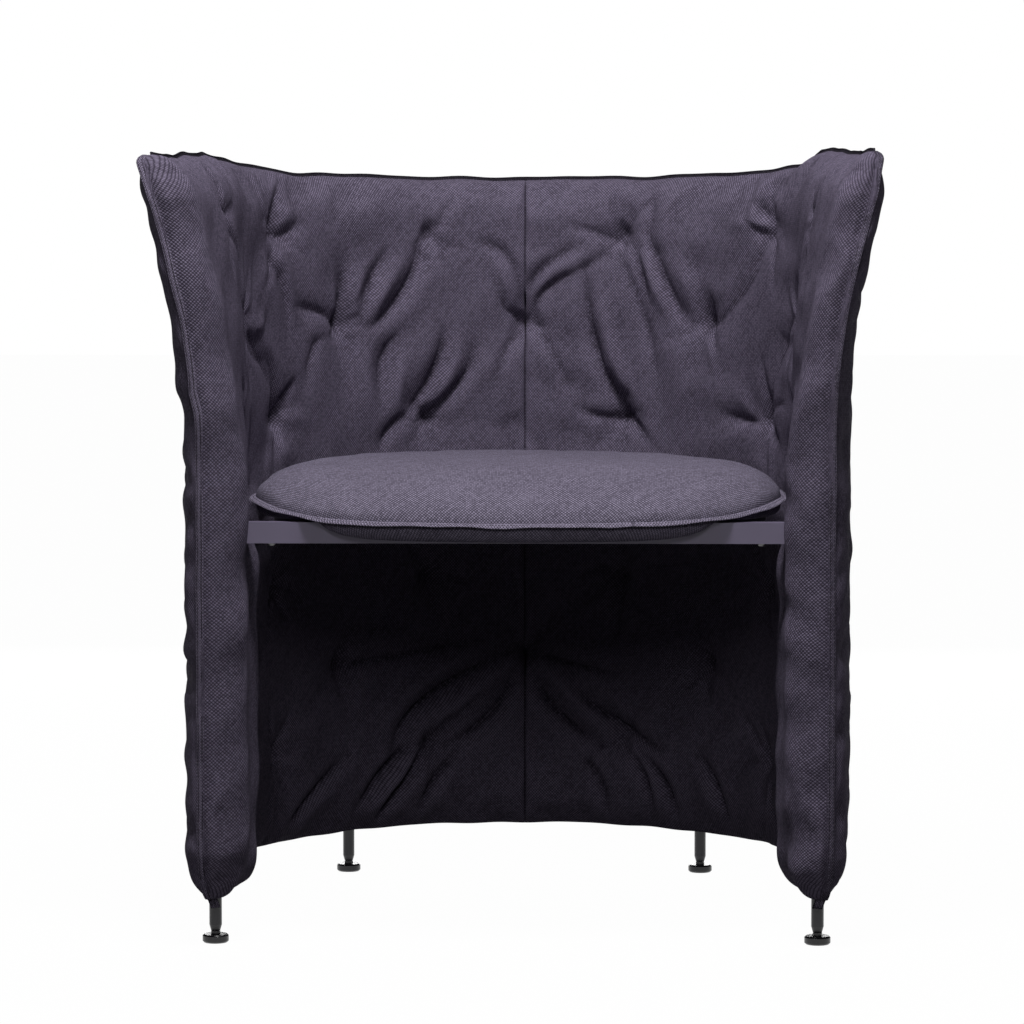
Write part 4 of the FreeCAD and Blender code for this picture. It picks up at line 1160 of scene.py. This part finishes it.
def build_cushion_band():
    """The cushion's flat seam, a little ruffled, with two rows of stitches."""
    plan = cushion_plan(BAND_STEP)
    plan = np.concatenate([plan, plan[:1]])
    tangent = np.gradient(plan, axis=0)
    normal = unit(np.stack([tangent[:, 1], -tangent[:, 0]], -1))
    x, y = plan[:, 0], CUSHION_Y + plan[:, 1]
    z = CUSHION_BOTTOM + CUSHION_SEAM - cushion_sag(x, y, CUSHION_SEAM)
    hang, more = BAND_HANG
    outward = np.column_stack([normal, -(hang + more * ramp(-y, *HANG_DEPTHS))])
    upward = np.tile([0.0, 0.0, 1.0], (len(plan), 1))
    line = [values[:-1] for values in (np.stack([x, y, z], -1), outward, upward)]
    band, marks = swept(
        "cushion_seam_band", line, ruffle=0.0022, seed=31, closed=True, size=CUSHION_BAND_SIZE
    )
    add_wear_and_shade(band, gain=60, most=0.15)
    # The band's lighter cloth is a painted highlight.
    finish_piece(band, CUSHION_EDGE_HIGHLIGHT_CLOTH, "cushion", "seam_cloth", "cushion_seam_flange")
    build_threads("cushion_stitches", marks, THREAD, "cushion")


# Finishes of the frame's own pieces


FINISHES = (
    (("glide_pad", "leg_insert"), PLASTIC),
    (("glide_stud",), STUD_STEEL),
    (("seat_screws",), STEEL),
    (("front_rail",), RAIL_PAINT),
    (("seat_", "rail_lug", "rear_bar"), SEAT_STEEL),
    (("",), BLACK_TUBE),
)
for node_name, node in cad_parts.items():
    finish = next(material for starts, material in FINISHES if node_name.startswith(starts))
    for material_slot in node.material_slots:
        material_slot.material = finish

quilt_halves = build_quilt()
build_quilt_bands(quilt_halves)
build_ties(quilt_halves)
build_cushion()

# Floor, light and camera


def floor_material(colour, shade, glow):
    """A surface that looks white to the camera and still takes part of the object's shadow."""
    nodes = new_material("floor_white")
    path = nodes.add("LightPath")
    seen = nodes.math("MAXIMUM", path["Is Camera Ray"], path["Is Glossy Ray"])
    seen = nodes.math("MAXIMUM", seen, path["Is Transmission Ray"])
    white = nodes.add("Emission", {"Color": (1, 1, 1, 1), "Strength": glow})[0]
    share = nodes.math("MULTIPLY", seen, shade)
    mixed = nodes.add("MixShader", {0: share, 1: nodes.shader.outputs[0], 2: white})
    nodes.feed(nodes.tree.nodes["Material Output"], {"Surface": mixed[0]})
    nodes.set(Base_Color=(*colour, 1), Roughness=0.9)
    return nodes.owner


def build_stage():
    """A wide plain floor, and a world that is white to the camera and gives little light."""
    size = 30.0
    verts = [(-size, -size, 0), (size, -size, 0), (size, size, 0), (-size, size, 0)]
    floor = new_piece("floor", verts, [(0, 1, 2, 3)])
    floor.data.materials.append(floor_material((0.10, 0.10, 0.10), shade=0.92, glow=1.07))
    world = Nodes(bpy.data.worlds.new("studio"), "Background")
    bpy.context.scene.world = world.owner
    path = world.add("LightPath")
    seen = world.math("MAXIMUM", path["Is Camera Ray"], path["Is Transmission Ray"])
    world.set(Color=(1, 1, 1, 1), Strength=world.between(seen, 0.0, 1.0, 0.02, 1.0))


def area_light(name, place, aim, width, height, power):
    light = bpy.data.lights.new(name, "AREA")
    light.shape = "RECTANGLE"
    light.size, light.size_y, light.energy = width, height, power
    lamp = new_object(name, light)
    place, aim = Vector(place), Vector(aim)
    lamp.rotation_euler = (aim - place).to_track_quat("-Z", "Y").to_euler()
    lamp.location = place


def build_camera():
    """The photograph's place and angle."""
    camera = bpy.data.cameras.new("camera")
    camera.lens, camera.sensor_width = 137.5, 36.0
    rig = new_object("camera", camera)
    rig.location = (0.0709, -3.952, 0.629)
    rig.rotation_euler = (math.radians(90 - 3.36), 0, math.radians(1.158))
    bpy.context.scene.camera = rig


build_stage()
area_light("key", (-0.03, -0.75, 2.10), (0, -0.1, 0.50), 0.50, 0.40, 44)
area_light("front", (0.0, -2.9, 1.50), (0, 0, 0.35), 0.6, 0.7, 17)
area_light("back", (0.0, 2.8, 0.45), (0, 0, 0.45), 2.4, 0.6, 22)
area_light("left", (-2.6, 2.0, 0.40), (0, 0.1, 0.40), 1.0, 0.5, 12)
area_light("right", (2.6, 2.0, 0.40), (0, 0.1, 0.40), 1.0, 0.5, 12)
build_camera()
bpy.context.scene.view_settings.view_transform = "Standard"
